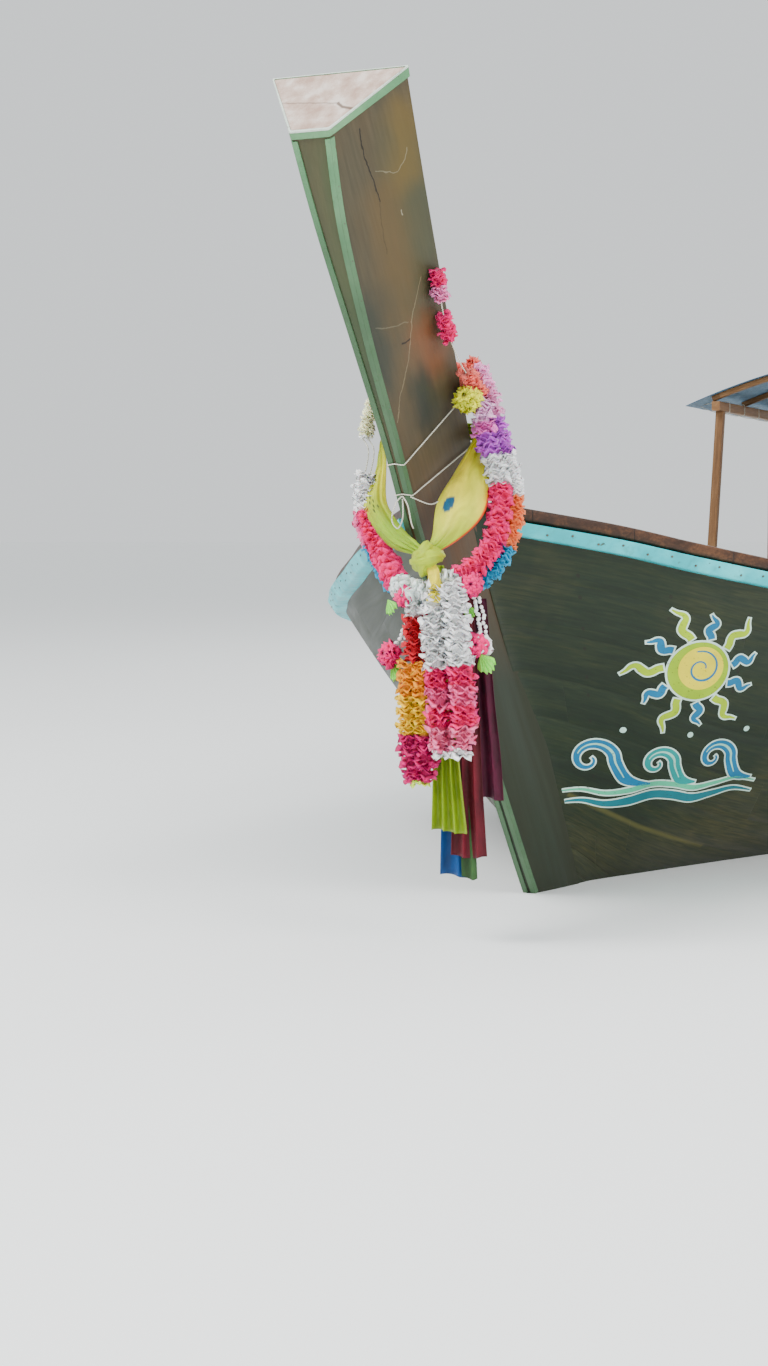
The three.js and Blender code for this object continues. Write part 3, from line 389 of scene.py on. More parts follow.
LIGHTS = {
    # name: place, aimed at, width (m), power (W)
    "key": ((11.0, -3.5, 9.0), (4.5, 0, 0.8), 5.0, 1500),
    "fill": ((8.0, 9.5, 6.5), (3.0, 0, 0.6), 6.0, 900),
    "stern": ((-11.0, 3.0, 9.0), (-3.0, 0, 0.6), 6.0, 1000),
}
for light_name, (place, aim, width, power) in LIGHTS.items():
    light_data = bpy.data.lights.new(light_name, "AREA")
    light_data.size = width
    light_data.energy = power
    light = bpy.data.objects.new(light_name, light_data)
    light.location = place
    light.rotation_euler = (Vector(aim) - Vector(place)).to_track_quat("-Z", "Y").to_euler()
    bpy.context.scene.collection.objects.link(light)
print("floor: opening of", len(hole), "points;", len(LIGHTS), "soft lights")

# %% [markdown]
# Most of the boat is tropical hardwood under varnish. Planks show long fibres, each board
# has a shade of its own, and the seams between boards are dark and slightly open. Wood
# grain could be a wave texture, but noise drawn out along the board looks less regular.
# The same graph serves every timber, with its board width, length and fibre size in metres.

# %% Timber finish
def edges(node, radius):
    """A normal that rounds edges, and its dot product with the true one: 1 on flat faces."""
    rounder = node("Bevel", {"Radius": radius}, samples=4)
    return rounder, node("VectorMath", (rounder, node("NewGeometry").outputs["Normal"]), "DOT_PRODUCT")


def timber(name, tones, board, length, fibre, along=None, seam=1.5 * MM, rough=(0.4, 0.65), coat=0.0,
        edge=0.0, gap_dark=0.9, shades=(0.72, 1.2)):
    """Boards with fibres drawn out lengthwise, a shade of their own, and dark seams.

    along names the axes of length, width and depth; without it the UV map gives metres
    along and a count of boards across. Returns the material and its useful nodes.
    """
    material, shader, node = new_finish(name, {"Coat Weight": coat, "Coat Roughness": 0.3,
        "Specular IOR Level": 0.2})
    place = node("TexCoord")
    axes = node("SeparateXYZ", (place.outputs["Object" if along else "UV"],))
    lengthwise, across, deep = [axes.outputs[axis] for axis in (along or "XYZ")]
    counted = across
    width = node("Math", (across, board), "MULTIPLY")
    if along:
        counted = node("Math", (across, board), "DIVIDE")
        width = across
    row = node("Math", [counted], "FLOOR")
    start = node("TexWhiteNoise", {"W": row}, noise_dimensions="1D")
    joint = node("Math", (lengthwise, 1 / length, start), "MULTIPLY_ADD")
    piece = node("Math", [joint], "FLOOR")
    pair = node("CombineXYZ", (row, piece))
    own = node("TexWhiteNoise", {"Vector": pair}, noise_dimensions="2D")
    drawn = node("Math", (lengthwise, 1 / 14), "MULTIPLY")
    level = node("Math", (own, 3.0, deep), "MULTIPLY_ADD")
    spot = node("CombineXYZ", (drawn, width, level))
    fine = node("TexNoise", {"Vector": spot, "Scale": fibre, "Detail": 5.0, "Roughness": 0.62,
        "Distortion": 0.4})
    broad = node("TexNoise", {"Vector": spot, "Scale": fibre / 9, "Detail": 3.0, "Distortion": 1.2})
    blend = node("Mix", (0.5, fine, broad))
    tone = node("ValToRGB", [blend], stops=tones)
    shade = node("MapRange", {0: own, 3: shades[0], 4: shades[1]})
    coloured = node("Mix", (1.0, tone, shade), "RGBA", blend_type="MULTIPLY")
    beside = node("Math", (counted, 0.5), "PINGPONG")
    beyond = node("Math", (joint, 0.5), "PINGPONG")
    side_gap = node("MapRange", (beside, 0.0, seam / board, 1.0, 0.0), interpolation_type="SMOOTHSTEP")
    end_gap = node("MapRange", (beyond, 0.0, seam / length, 1.0, 0.0), interpolation_type="SMOOTHSTEP")
    either_gap = node("Math", (side_gap, end_gap), "MAXIMUM")
    gap = node("Math", (either_gap, gap_dark), "MULTIPLY")
    seamed = node("Mix", (gap, coloured, "#14110d"), "RGBA")
    ground = node("Math", (fine, 0.35), "MULTIPLY")
    height = node("Math", (ground, gap), "SUBTRACT")
    bump = node("Bump", {"Height": height, "Distance": 1.5 * MM, "Strength": 0.7})
    if edge:
        round_edge, turn = edges(node, edge)
        rub = node("MapRange", (turn, 0.97, 0.8, 0.0, 0.55))
        pale = node("Mix", (0.45, seamed, "#b49a76"), "RGBA")
        seamed = node("Mix", (rub, seamed, pale), "RGBA")
        give(bump.inputs["Normal"], round_edge)
    gloss = node("MapRange", (broad, 0.3, 0.7, rough[0], rough[1]))
    feed(shader, seamed, gloss, bump)
    parts = {"shader": shader, "node": node, "place": place, "colour": seamed, "fine": fine, "broad": broad,
        "axes": axes}
    return material, parts


# %% [markdown]
# Scratches, cracks and stains each have a place of their own, so a noise can't give them.
# Each is drawn as a short path on the side view, in metres. Its finish fades with the
# distance to that path, which a few nodes work out.

# %% Marks along a path
def near_path(node, place, path):
    """Distance from a place to a path: the least of its distances to the path's straight parts."""
    path = floats(path)
    least = None
    for start, end in zip(path[:-1], path[1:]):
        way = end - start
        ahead = node("VectorMath", (place, start), "SUBTRACT")
        along = node("VectorMath", (ahead, way / (way @ way)), "DOT_PRODUCT")
        share = node("Clamp", [along])
        nearest = node("VectorMath", (way, share), "SCALE")
        away = node("VectorMath", (ahead, nearest), "DISTANCE")
        if least is not None:
            away = node("Math", (away, least), "MINIMUM")
        least = away
    return least


def marked(node, colour, place, only, core, marks):
    """The colour with each (path, half width, strength, tone) laid over it where only is 1.

    core is the share of the half width that has the whole strength.
    """
    for path, half, strength, tone in marks:
        away = near_path(node, place, path)
        part = node("MapRange", (away, half, half * core, 0.0, strength), interpolation_type="SMOOTHSTEP")
        part = node("Math", (part, only), "MULTIPLY")
        colour = node("Mix", (part, colour, tone), "RGBA")
    return colour


# %% [markdown]
# The hull's planks run from stem to transom, ten strakes a side. Their varnish is dark
# and a little green, partly with age and partly as a painted reflection of the sea, with
# paler brown streaks where it has worn thin, and more wear near the water. Just above the
# water they turn darker and greener still, a painted reflection of the water. Round wooden
# plugs cover the bolts at each frame.

# %% Hull plank finish
STRAKES = 10
STRAKE_WIDTH = 0.16
PLUG_PITCH = 0.30
PLUG_RADIUS = 7 * MM
# Dark green-brown varnish; part of its green is a painted reflection of the sea
OUTSIDE_TONES = [(0.30, "#121b11"), (0.48, "#192516"), (0.60, "#242d1a"), (0.78, "#3d3a20")]
planked, wood = timber("varnished_hardwood_planks", OUTSIDE_TONES, STRAKE_WIDTH, 2.6, 120, seam=1.6 * MM,
    rough=(0.4, 0.6), coat=0.08, gap_dark=0.35, shades=(0.88, 1.08))
node = wood["node"]
plug_u = node("Math", (wood["axes"].outputs["X"], PLUG_PITCH), "DIVIDE")
plug_near_u = node("Math", (plug_u, 0.5), "PINGPONG")
plug_near_v = node("Math", (wood["axes"].outputs["Y"], 0.5), "PINGPONG")
plug_x = node("Math", (plug_near_u, PLUG_PITCH), "MULTIPLY")
plug_y = node("Math", (plug_near_v, STRAKE_WIDTH, -0.2 * STRAKE_WIDTH), "MULTIPLY_ADD")
plug_spot = node("CombineXYZ", (plug_x, plug_y))
plug_away = node("VectorMath", [plug_spot], "LENGTH")
plug = node("MapRange", (plug_away, PLUG_RADIUS, PLUG_RADIUS * 0.8, 0.0, 0.6))
plugged = node("Mix", (plug, wood["colour"], "#1c1812"), "RGBA")
boat_place = wood["place"].outputs["Object"]
planks_place = node("SeparateXYZ", [boat_place])
worn_noise = node("TexNoise", (boat_place, 1.7, 4.0, 0.6))
low_down = node("MapRange", (planks_place.outputs["Z"], 0.45, 0.02, 0.0, 0.35))
worn_sum = node("Math", (worn_noise, low_down), "ADD")
worn = node("MapRange", (worn_sum, 0.55, 0.85, 0.0, 0.6))
bare = node("ValToRGB", [wood["fine"]], stops=[(0.35, "#2b2f1a"), (0.65, "#534c2c")])
aged = node("Mix", (worn, plugged, bare), "RGBA")
# Just above the water the planks turn darker and greener: a painted reflection of the water
water_reflection_mask = node("MapRange", (planks_place.outputs["Z"], 0.10, 0.0, 0.0, 0.75))
# Low on the port bow one plank's upper edge is rubbed pale along its seam
RUBBED_SEAM = [(4.537, 0.0, 0.293), (4.409, 0.0, 0.238), (4.229, 0.0, 0.165), (4.081, 0.0, 0.121),
    (3.9, 0.0, 0.072)]
planks_side = node("VectorMath", (boat_place, (1.0, 0.0, 1.0)), "MULTIPLY")
planks_port = node("MapRange", (planks_place.outputs["Y"], 0.0, 0.01))
rubbed = marked(node, aged, planks_side, planks_port, 0.1, [(RUBBED_SEAM, 10 * MM, 0.4, "#6b6531")])
water_reflection_colour = node("Mix", (water_reflection_mask, rubbed, "#152012"), "RGBA")
feed(wood["shader"], water_reflection_colour)
print("planks:", STRAKES, "strakes a side")

# %% Hull planks
SEAM_DEEP = 1.2 * MM
SEAM_SPREAD = 0.035
strake_steps = np.array([0.0, SEAM_SPREAD, 0.3, 0.5, 0.7, 1 - SEAM_SPREAD])
plank_v = np.append((np.arange(STRAKES)[:, None] + strake_steps).ravel(), STRAKES) / STRAKES
in_seam = np.append(np.tile([1.0, 0, 0, 0, 0, 0], STRAKES), 0) * SEAM_DEEP
in_seam[0] = 0
plank_u = np.linspace(0, LAST, LAST * 10 + 1)
grid_u, grid_v = np.meshgrid(plank_u, plank_v, indexing="ij")
skin_point = hull(grid_u, grid_v)
skin_out = hull_out(grid_u, grid_v)
outer = skin_point - in_seam[None, :, None] * skin_out
inner = skin_point - PLANK * skin_out
inner[:, -1, 2] = outer[:, -1, 2]
inner[..., 1] = np.maximum(inner[..., 1], 5 * MM)
run = lengths(hull(plank_u, np.full(len(plank_u), 0.8)))
planks_uv = (run, np.concatenate([plank_v, plank_v[::-1], plank_v[:1]]) * STRAKES)
for side, mirror in SIDES.items():
    ring = np.concatenate([outer, inner[:, ::-1]], axis=1) * mirror
    shell = build(f"{side}_planks", [tube(ring, uv=planks_uv)], [planked], sharp=50)
    low_planks = [f"{side}_{length}_{strip}_planks" for length in ("fore", "middle", "after")
        for strip in ("garboard", "bilge")]
    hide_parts(f"{side}_side_planks", *low_planks)

# %% [markdown]
# Sawn ribs back the planks every 600 mm. They are fastened to the planks, so they are
# made with them: each is a bar of 48 by 45 mm that follows the planks' inner face. The
# stern's board is flush with the planks' ends.

# %% Ribs
RIB_PITCH = 0.6
RIB_FIRST = 3.9
RIB_COUNT = 15
RIB_HALF_WIDTH = 24 * MM
RIB_DEEP = 45 * MM
RIB_LOW = -0.185
RIB_STEPS = 15
rib_x = RIB_FIRST - RIB_PITCH * np.arange(RIB_COUNT)
rib_top = np.where(rib_x > 2.98, 0.638, np.where(rib_x < -3.4, 0.248, sheer_at(rib_x, 2) - 2 * MM))
rib_low = np.where(rib_x > 3.4, RIB_LOW + 0.12 * (rib_x - 3.4), RIB_LOW)
rib_z = rib_low[:, None] + (rib_top - rib_low)[:, None] * np.linspace(0, 1, RIB_STEPS)
rib_u, rib_v = hull_at(np.broadcast_to(rib_x[:, None], rib_z.shape), rib_z)
rib_out = hull_out(rib_u, rib_v)
rib_out[..., 0] = 0
rib_out = unit(rib_out)
rib_outer = hull(rib_u, rib_v) - (PLANK - 1 * MM) * rib_out
rib_inner = rib_outer - RIB_DEEP * rib_out
rib_ring = np.stack([rib_outer, rib_inner, rib_inner, rib_outer], axis=2)
rib_ring[..., 2:3] = np.clip(rib_ring[..., 2:3], None, rib_top[:, None, None, None])
rib_ring[..., 0] = rib_x[:, None, None] + RIB_HALF_WIDTH * np.array([1, 1, -1, -1])
rib_wood, _ = timber("oiled_hardwood_ribs", ["#3a2c1d", "#5a4429", "#7b5f3d"], 0.2, 3.0, 130, along="ZYX",
    rough=(0.5, 0.75), edge=3 * MM)
for side, mirror in SIDES.items():
    ribs = build(f"{side}_ribs", [tube(rib_ring * mirror)], [rib_wood], sharp=30)
    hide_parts(f"{side}_side_planks")

# %% [markdown]
# The stem and the prow are one raked timber of four faces. It leans forward and grows
# wider towards its sawn end. Its varnish has turned brown-grey, with warm patches, dark
# stains and one long drying crack. The sides and the end grain are different finishes
# on the same solid, so the crack and stains are placed by the piece's own coordinates.

# %% Prow timber
STEM_ROWS = np.array([
    # front x, z   rear x, z   half width at front, at rear   (mm, x from the stem's foot)
    [1440, 2003, 1281, 2163, 50, 178], [1339, 1797, 1128, 1900, 34, 162],
    [1169, 1540, 971, 1676, 22, 140], [1000, 1303, 802, 1439, 17, 118],
    [908, 1160, 707, 1291, 16, 108], [826, 1037, 640, 1181, 16, 103],
    [675, 858, 498, 1005, 16, 96], [565, 723, 385, 866, 16, 92], [393, 504, 215, 642, 16, 90],
    [202, 254, 37, 383, 16, 87], [0, 0, -144, 124, 17, 80], [-180, -190, -284, -49, 20, 68],
    [-420, -310, -470, -158, 25, 56], [-760, -380, -778, -241, 32, 48],
    [-1200, -412, -1206, -287, 35, 46],
]) * MM
CORNER_RADIUS = 7 * MM
starboard = SIDES["starboard"]


def stem_edges(rows):
    """Front and rear corners of the stem's rows on the port side, in metres."""
    front_x, front_z, rear_x, rear_z, front_half, rear_half = rows.T
    return [np.stack([x + STEM_FOOT, y, z], -1) for x, y, z in ((front_x, front_half, front_z),
        (rear_x, rear_half, rear_z))]


def four_sided(rows):
    """Rings of four corners: both port corners and their mirror images."""
    front, rear = stem_edges(rows)
    return np.stack([front, rear, rear * starboard, front * starboard], axis=1)


def fan(ring, kind=0):
    """A flat end: triangles from a ring to its middle."""
    return patch(np.stack([ring, np.broadcast_to(ring.mean(0), ring.shape)]), wrap=(False, True), kind=kind)


stem_corners = four_sided(through(STEM_ROWS, 6))
stem_ring = rounded(stem_corners, CORNER_RADIUS)
stem_run = lengths(stem_corners[:, :2].mean(1))
side_patch = patch(stem_ring, wrap=(False, True), uv=(stem_run, round_way(stem_ring[20])))


# %% [markdown]
# The prow's finish is a brown grain with soft stains laid over it, each at its own place,
# then the redder and darker varnish low down, and last the crack and the scratches.

# %% Prow finish
def on_side(marks):
    """Each mark's spots, given as x from the stem's foot and height z, as points; the rest as it is."""
    return [([(x + STEM_FOOT, 0.0, z) for x, z in spots], *rest) for spots, *rest in marks]


CRACK = ((1.362, 2.012), (1.328, 1.952), (1.286, 1.902), (1.253, 1.86))
PROW_STAINS = on_side([
    (((1.215, 1.99), (1.11, 1.78), (1.06, 1.69)), 0.13, 0.5, "#37412b"),
    (((1.25, 2.05), (1.20, 1.93)), 0.09, 0.6, "#665124"),
    (((1.23, 1.85), (1.09, 1.60)), 0.10, 0.55, "#5c4725"),
    (((1.18, 1.57), (1.06, 1.33)), 0.14, 0.75, "#272e26"),
    (((1.02, 1.56), (0.99, 1.34)), 0.08, 0.5, "#57452c"),
    (((0.985, 1.565), (0.93, 1.505)), 0.09, 0.55, "#733f20"),
    (((0.945, 1.43), (0.90, 1.375)), 0.09, 0.75, "#1c2620"),
])
PROW_SCRATCHES = on_side([
    (CRACK, 2.4 * MM, 0.85, "#17130e"),
    (((1.253, 1.86), (1.23, 1.81), (1.186, 1.741)), 2.0 * MM, 0.35, "#1d1712"),
    (((1.287, 1.924), (1.227, 1.929), (1.218, 1.96), (1.218, 1.986)), 1.8 * MM, 0.25, "#a59f84"),
    (((1.185, 1.848), (1.177, 1.836)), 2.2 * MM, 0.4, "#b8b399"),
    (((1.06, 1.699), (1.051, 1.611), (1.019, 1.491), (1.017, 1.405), (1.003, 1.344)), 2.0 * MM, 0.26,
        "#9d9070"),
    (((1.155, 1.567), (1.107, 1.573), (1.055, 1.591)), 2.4 * MM, 0.13, "#a59f84"),
    (((1.057, 1.538), (1.046, 1.541), (1.037, 1.55)), 3.2 * MM, 0.85, "#17120d"),
])
prow_wood, prow_shader, node = new_finish("weathered_varnished_prow_timber", {"Coat Weight": 0.08,
    "Coat Roughness": 0.3, "Specular IOR Level": 0.2})
prow_place = node("TexCoord").outputs["Object"]
prow_xyz = node("SeparateXYZ", [prow_place])
# The prow leans, so its own lengthwise axis is turned out of the boat's x and z
lean = node("Mapping", {"Vector": prow_place, "Rotation": (0, math.radians(-35), 0)})
stretch = node("Mapping", {"Vector": lean, "Scale": (1, 1, 1 / 16)})
fibre = node("TexNoise", (stretch, 130.0, 5.0, 0.6))
swirl = node("TexNoise", {"Vector": stretch, "Scale": 13.0, "Detail": 4.0, "Distortion": 1.6})
blotch = node("Mapping", {"Vector": lean, "Scale": (1, 1, 0.28)})
patches_noise = node("TexNoise", (blotch, 6.5, 3.0))
grain = node("Mix", (0.5, swirl, fibre))
brown = node("ValToRGB", [grain], stops=[(0.28, "#3a3527"), (0.5, "#453f2f"), (0.72, "#514937")])
warm = node("MapRange", (patches_noise, 0.5, 0.7, 0.0, 0.3))
warmed = node("Mix", (warm, brown, "#5f4424"), "RGBA")
# Stains lie on both sides, with soft edges that a noise pushes in and out
side_view = node("VectorMath", {0: prow_place, 1: (1.0, 0.0, 1.0), 2: (-6 * MM, 0.0, -6 * MM)},
    "MULTIPLY_ADD")
push = node("TexNoise", (blotch, 24.0, 3.0)).outputs["Color"]
pushed = node("VectorMath", (push, (0.07, 0.0, 0.07), (-0.035, 0.0, -0.035)), "MULTIPLY_ADD")
ragged = node("VectorMath", (side_view, pushed), "ADD")
stained = marked(node, warmed, ragged, 1.0, 0.0, PROW_STAINS)
# The narrow front face, which looks ahead, and the rear face are darker and greener in patches: partly moss,
# partly painted shade
facing = node("SeparateXYZ", (node("NewGeometry").outputs["Normal"],)).outputs["Y"]
sideways = node("Math", [facing], "ABSOLUTE")
moss_and_shade_patch = node("MapRange", (patches_noise, 0.4, 0.6, 0.55, 0.2))
moss_and_shade = node("MapRange", (sideways, 0.5, 0.35, 0.0, moss_and_shade_patch))
stained = node("Mix", (moss_and_shade, stained, "#42532f"), "RGBA")
# Towards the hull the varnish is redder, and lowest of all it is dark and green
base = node("MapRange", (prow_xyz.outputs["Z"], 1.35, 1.05, 0.0, 0.6))
base_patch = node("Math", (base, swirl), "MULTIPLY")
reddened = node("Mix", (base_patch, stained, "#632f13"), "RGBA")
low = node("MapRange", (prow_xyz.outputs["Z"], 1.05, 0.65, 0.0, 0.88))
lowered = node("Mix", (low, reddened, "#172618"), "RGBA")
# Scratches and the crack are on the port side alone, with a slight wander
wander = node("TexNoise", (prow_place, 45.0, 3.0)).outputs["Color"]
wandered = node("VectorMath", (wander, (0.012, 0.0, 0.012), side_view), "MULTIPLY_ADD")
port_only = node("MapRange", (prow_xyz.outputs["Y"], 0.0, 0.01))
scratched = marked(node, lowered, wandered, port_only, 0.3, PROW_SCRATCHES)
crack_away = near_path(node, wandered, PROW_SCRATCHES[0][0])
crack = node("MapRange", (crack_away, 2.4 * MM, 0.5 * MM, 0.0, 1.0))
crack_port = node("Math", (crack, port_only), "MULTIPLY")
prow_height = node("Math", (fibre, 0.3), "MULTIPLY")
prow_deep = node("Math", (prow_height, crack_port), "SUBTRACT")
prow_bump = node("Bump", {"Height": prow_deep, "Distance": 1.5 * MM, "Strength": 0.6})
prow_gloss = node("MapRange", (swirl, 0.3, 0.7, 0.38, 0.62))
feed(prow_shader, scratched, prow_gloss, prow_bump)
print("prow finish:", len(PROW_STAINS), "stains,", len(PROW_SCRATCHES), "scratches and cracks")

# %% [markdown]
# The sawn end shows end grain: pores in growth rings round a centre that lies outside
# the timber, dried to a pinkish grey, with one check across it.

# %% Sawn end grain
end_wood, end_shader, node = new_finish("sawn_end_grain", {"Specular IOR Level": 0.3})
end_place = node("TexCoord").outputs["Object"]
end_turn = node("Mapping", (end_place, (-5.9, 0.25, -2.3), (0, math.radians(35), 0)), vector_type="POINT")
end_rings = node("TexWave", {"Vector": end_turn, "Scale": 7.0, "Distortion": 9.0, "Detail": 3.0,
    "Detail Scale": 1.6}, wave_type="RINGS", rings_direction="Z").outputs["Fac"]
pores = node("TexNoise", (end_place, 260.0, 3.0))
end_cloud = node("TexNoise", (end_place, 21.0, 4.0, 0.5))
ring_part = node("Mix", (0.93, end_rings, end_cloud))
end_mix = node("Mix", (0.2, ring_part, pores))
end_tone = node("ValToRGB", [end_mix], stops=[(0.36, "#a98d7e"), (0.5, "#bfa99b"), (0.62, "#d3c6bb")])
END_CHECK = np.array([(1.352, -0.162), (1.362, -0.064), (1.368, 0.004), (1.372, 0.042), (1.384, 0.06),
    (1.392, 0.09)])
end_flat = node("VectorMath", (end_place, (1.0, 1.0, 0.0)), "MULTIPLY")
end_wobble = node("TexNoise", (end_place, 60.0)).outputs["Color"]
end_moved = node("VectorMath", (end_wobble, (5 * MM, 5 * MM, 0.0), end_flat), "MULTIPLY_ADD")
check_away = near_path(node, end_moved, [(x + STEM_FOOT, y, 0.0) for x, y in END_CHECK])
check_deep = near_path(node, end_moved, [(x + STEM_FOOT, y, 0.0) for x, y in END_CHECK[-3:]])
thin_check = node("MapRange", (check_away, 2.6 * MM, 0.8 * MM, 0.0, 0.5))
wide_check = node("MapRange", (check_deep, 5 * MM, 2 * MM, 0.0, 0.85))
check = node("Math", (thin_check, wide_check), "MAXIMUM")
end_checked = node("Mix", (check, end_tone, "#5d4a3c"), "RGBA")
end_low = node("Math", (pores, check), "SUBTRACT")
end_bump = node("Bump", {"Height": end_low, "Distance": 1.0 * MM, "Strength": 0.6})
end_rough = node("MapRange", {0: pores, 3: 0.7, 4: 0.9})
feed(end_shader, end_checked, end_rough, end_bump)
prow = build("prow_timber", [side_patch, fan(stem_ring[0], 1), fan(stem_ring[-1])], [prow_wood, end_wood],
    sharp=40)
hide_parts("stem_and_prow")

# %% [markdown]
# Painted wooden laths cover the prow's two front edges and frame its sawn end. Each lath
# wraps its corner and stands 3 mm proud. They meet where the timber is narrow, which
# leaves a thin dark line between them, and they run down to the water. Small nails hold
# them, and the pale green paint is scuffed to bare wood here and there.

# %% Painted finish
def painted(name, colours, bare_tone, wear=0.6, rough=(0.35, 0.6), grime="#3c4638", dim=None):
    """Brush paint over wood: worn off along edges and in flakes, with grime in the hollows.

    dim = (height, lower height, tone, share): going down, the paint turns to that tone.
    """
    material, shader, node = new_finish(name, {"Specular IOR Level": 0.3})
    place = node("TexCoord").outputs["Object"]
    cloud = node("TexNoise", (place, 7.0, 4.0))
    flakes = node("TexNoise", (place, 24.0, 6.0, 0.7))
    brush = node("TexNoise", (place, 170.0, 2.0))
    tone = node("ValToRGB", [cloud], stops=colours)
    round_edge, turn = edges(node, 2.5 * MM)
    near_edge = node("MapRange", (turn, 1.0, 0.75, 0.0, 0.16))
    worn_sum = node("Math", (flakes, near_edge), "ADD")
    worn = node("MapRange", (worn_sum, wear, wear + 0.03, 0.0, 0.9))
    dirt = node("MapRange", (flakes, 0.46, 0.3, 0.0, 0.45))
    dirty = node("Mix", (dirt, tone, grime), "RGBA")
    wood_tone = node("Mix", (brush, bare_tone, "#2f281d"), "RGBA")
    colour = node("Mix", (worn, dirty, wood_tone), "RGBA")
    if dim:
        above = node("SeparateXYZ", [place]).outputs["Z"]
        below = node("MapRange", (above, dim[0], dim[1], 0.0, dim[3]))
        colour = node("Mix", (below, colour, dim[2]), "RGBA")
    layer = node("Math", (brush, 0.15), "MULTIPLY")
    height = node("Math", (layer, worn), "SUBTRACT")
    bump = node("Bump", {"Height": height, "Normal": round_edge, "Distance": 0.8 * MM, "Strength": 0.7})
    gloss = node("MapRange", (worn_sum, 0.4, 0.7, rough[0], rough[1]))
    feed(shader, colour, gloss, bump)
    return material


# %% Edge laths
LATH_PROUD = 3 * MM
LATH_BITE = -2 * MM
LATH_WIDE = 12 * MM
lath_green = painted("pale_green_lath_paint", ["#497a52", "#598a60", "#739f73"], "#7d7355", wear=0.66,
    grime="#445c3c", dim=(2.0, 1.6, "#33482f", 0.75))
rim_white = painted("white_rim_paint", ["#b4c4b6", "#c6d2c6", "#d6dfd4"], "#8f8a78", wear=0.68,
    grime="#8a9484")
nail_steel, nail_shader, node = new_finish("blunted_nail_heads", {"Metallic": 0.8})
nail_noise = node("TexNoise", {"Scale": 400.0, "Detail": 3.0})
nail_tone = node("ValToRGB", [nail_noise], stops=[(0.35, "#3a3a33"), (0.65, "#7d7a6c")])
nail_rough = node("MapRange", {0: nail_noise, 3: 0.35, 4: 0.7})
feed(nail_shader, nail_tone, nail_rough)


def domes(places, outs, radius, height):
    """Low round heads: rings shrink as cos while they rise as sin along the outward way."""
    outs = unit(floats(outs))
    places = floats(places)
    helper = np.where(np.abs(outs[:, 2:3]) < 0.9, [[0, 0, 1.0]], [[1.0, 0, 0]])
    a = unit(np.cross(outs, helper))
    b = np.cross(outs, a)
    angle = turns(8)
    lift = np.linspace(0, np.pi / 2 * 0.999, 3)
    ring = np.cos(lift)[:, None] * radius
    spread = (np.cos(angle)[None, None, :, None] * a[:, None, None] + np.sin(angle)[None, None, :, None]
        * b[:, None, None]) * ring[None, :, :, None]
    rise = outs[:, None, None] * (np.sin(lift) * height)[None, :, None, None]
    return places[:, None, None] + spread + rise


lath_rows = stem_corners[1:61]
lath_front, lath_rear = lath_rows[:, 0], lath_rows[:, 1]
to_rear = unit(lath_rear - lath_front)
forward = unit(np.cross(np.gradient(lath_front, axis=0), [0, -1.0, 0]) * [1, 0, 1])
forward = forward * np.sign((forward * (lath_front - lath_rear)).sum(-1, keepdims=True))
to_side = unit(np.cross(np.gradient(lath_front, axis=0), to_rear))
to_side = to_side * np.sign(to_side[:, 1:2])
front_reach = np.minimum(LATH_WIDE, lath_front[:, 1:2] - 2.5 * MM)
inner_edge = lath_front - front_reach * [0, 1, 0]
rear_edge = lath_front + to_rear * LATH_WIDE
lath_ring = np.stack([inner_edge + forward * LATH_BITE, inner_edge + forward * LATH_PROUD,
    lath_front + (forward + to_side) * LATH_PROUD, rear_edge + to_side * LATH_PROUD,
    rear_edge + to_side * LATH_BITE, lath_front + (to_side + forward) * LATH_BITE], axis=1)
nail_rows = np.arange(3, 59, 2)
nail_spots = lath_front[nail_rows] + to_side[nail_rows] * LATH_PROUD + to_rear[nail_rows] * LATH_WIDE / 2
nail_heads = domes(nail_spots, to_side[nail_rows], 2.6 * MM, 1.0 * MM)
# The end's band goes round all four faces, 35 mm deep
band_rows = through(STEM_ROWS[:2], 60)[[0, 2, 4, 7]]
band_corners = four_sided(band_rows)
band_middle = band_corners.mean(1, keepdims=True)
band_out = unit(band_corners - band_middle)
band_outer = rounded(band_corners + band_out * 5 * MM, 5 * MM)
band_inner = rounded(band_corners - band_out * 2 * MM, 5 * MM)
band_loop = np.concatenate([band_outer, band_inner[::-1]], axis=0)
lift_end = unit(band_corners[0, 0] - band_corners[3, 0]) * 1.5 * MM
band_loop[[0, -1]] += lift_end
# Its end is painted white: a thin skin over the rim that turns down 3 mm outside
rim_up = unit(lift_end)
rim_out = unit(band_loop[0] - band_loop[-1])
rim_loop = np.stack([band_loop[-1] + rim_up * 0.6 * MM, band_loop[0] + (rim_up + rim_out) * 0.6 * MM,
    band_loop[0] + rim_out * 0.6 * MM - rim_up * 3 * MM, band_loop[0] - rim_out * 1.5 * MM - rim_up * 3 * MM])
laths = [
    tube(lath_ring),
    tube(lath_ring * starboard),
    patch(band_loop, wrap=(True, True)),
    patch(rim_loop, wrap=(True, True), kind=2),
    tube(nail_heads, kind=1),
    tube(nail_heads * starboard, kind=1),
]
build("prow_edge_laths", laths, [lath_green, nail_steel, rim_white], sharp=35)

# %% [markdown]
# A turquoise rub rail runs along the planks' upper edge, and a red-brown cap covers it.
# Both are one section carried along the sheer, with its edges rounded by hand planes.
# The turquoise paint has worn through at the edges, and round nail heads show in a row.

# %% Rub rails and cap rails
RAIL_DROP = 8 * MM
RAIL_HEIGHT = 50 * MM
RAIL_THICK = 40 * MM
CAP_HEIGHT = 35 * MM
CAP_OUT = 12 * MM
CAP_IN = 78 * MM


def at_sheer(u):
    """Place on the sheer, the way down along the planks, and the level way out."""
    top = hull(u, np.ones_like(u))
    return top, unit(hull(u, np.full_like(u, 6 / 7)) - top), sheer_side(u)


def sweep(centre, offsets, side, down):
    """Rings: centre + s side + d down for each (s, d) of the section."""
    offsets = np.asarray(offsets)
    return centre[:, None] + offsets[None, :, :1] * side[:, None] + offsets[None, :, 1:] * down[:, None]


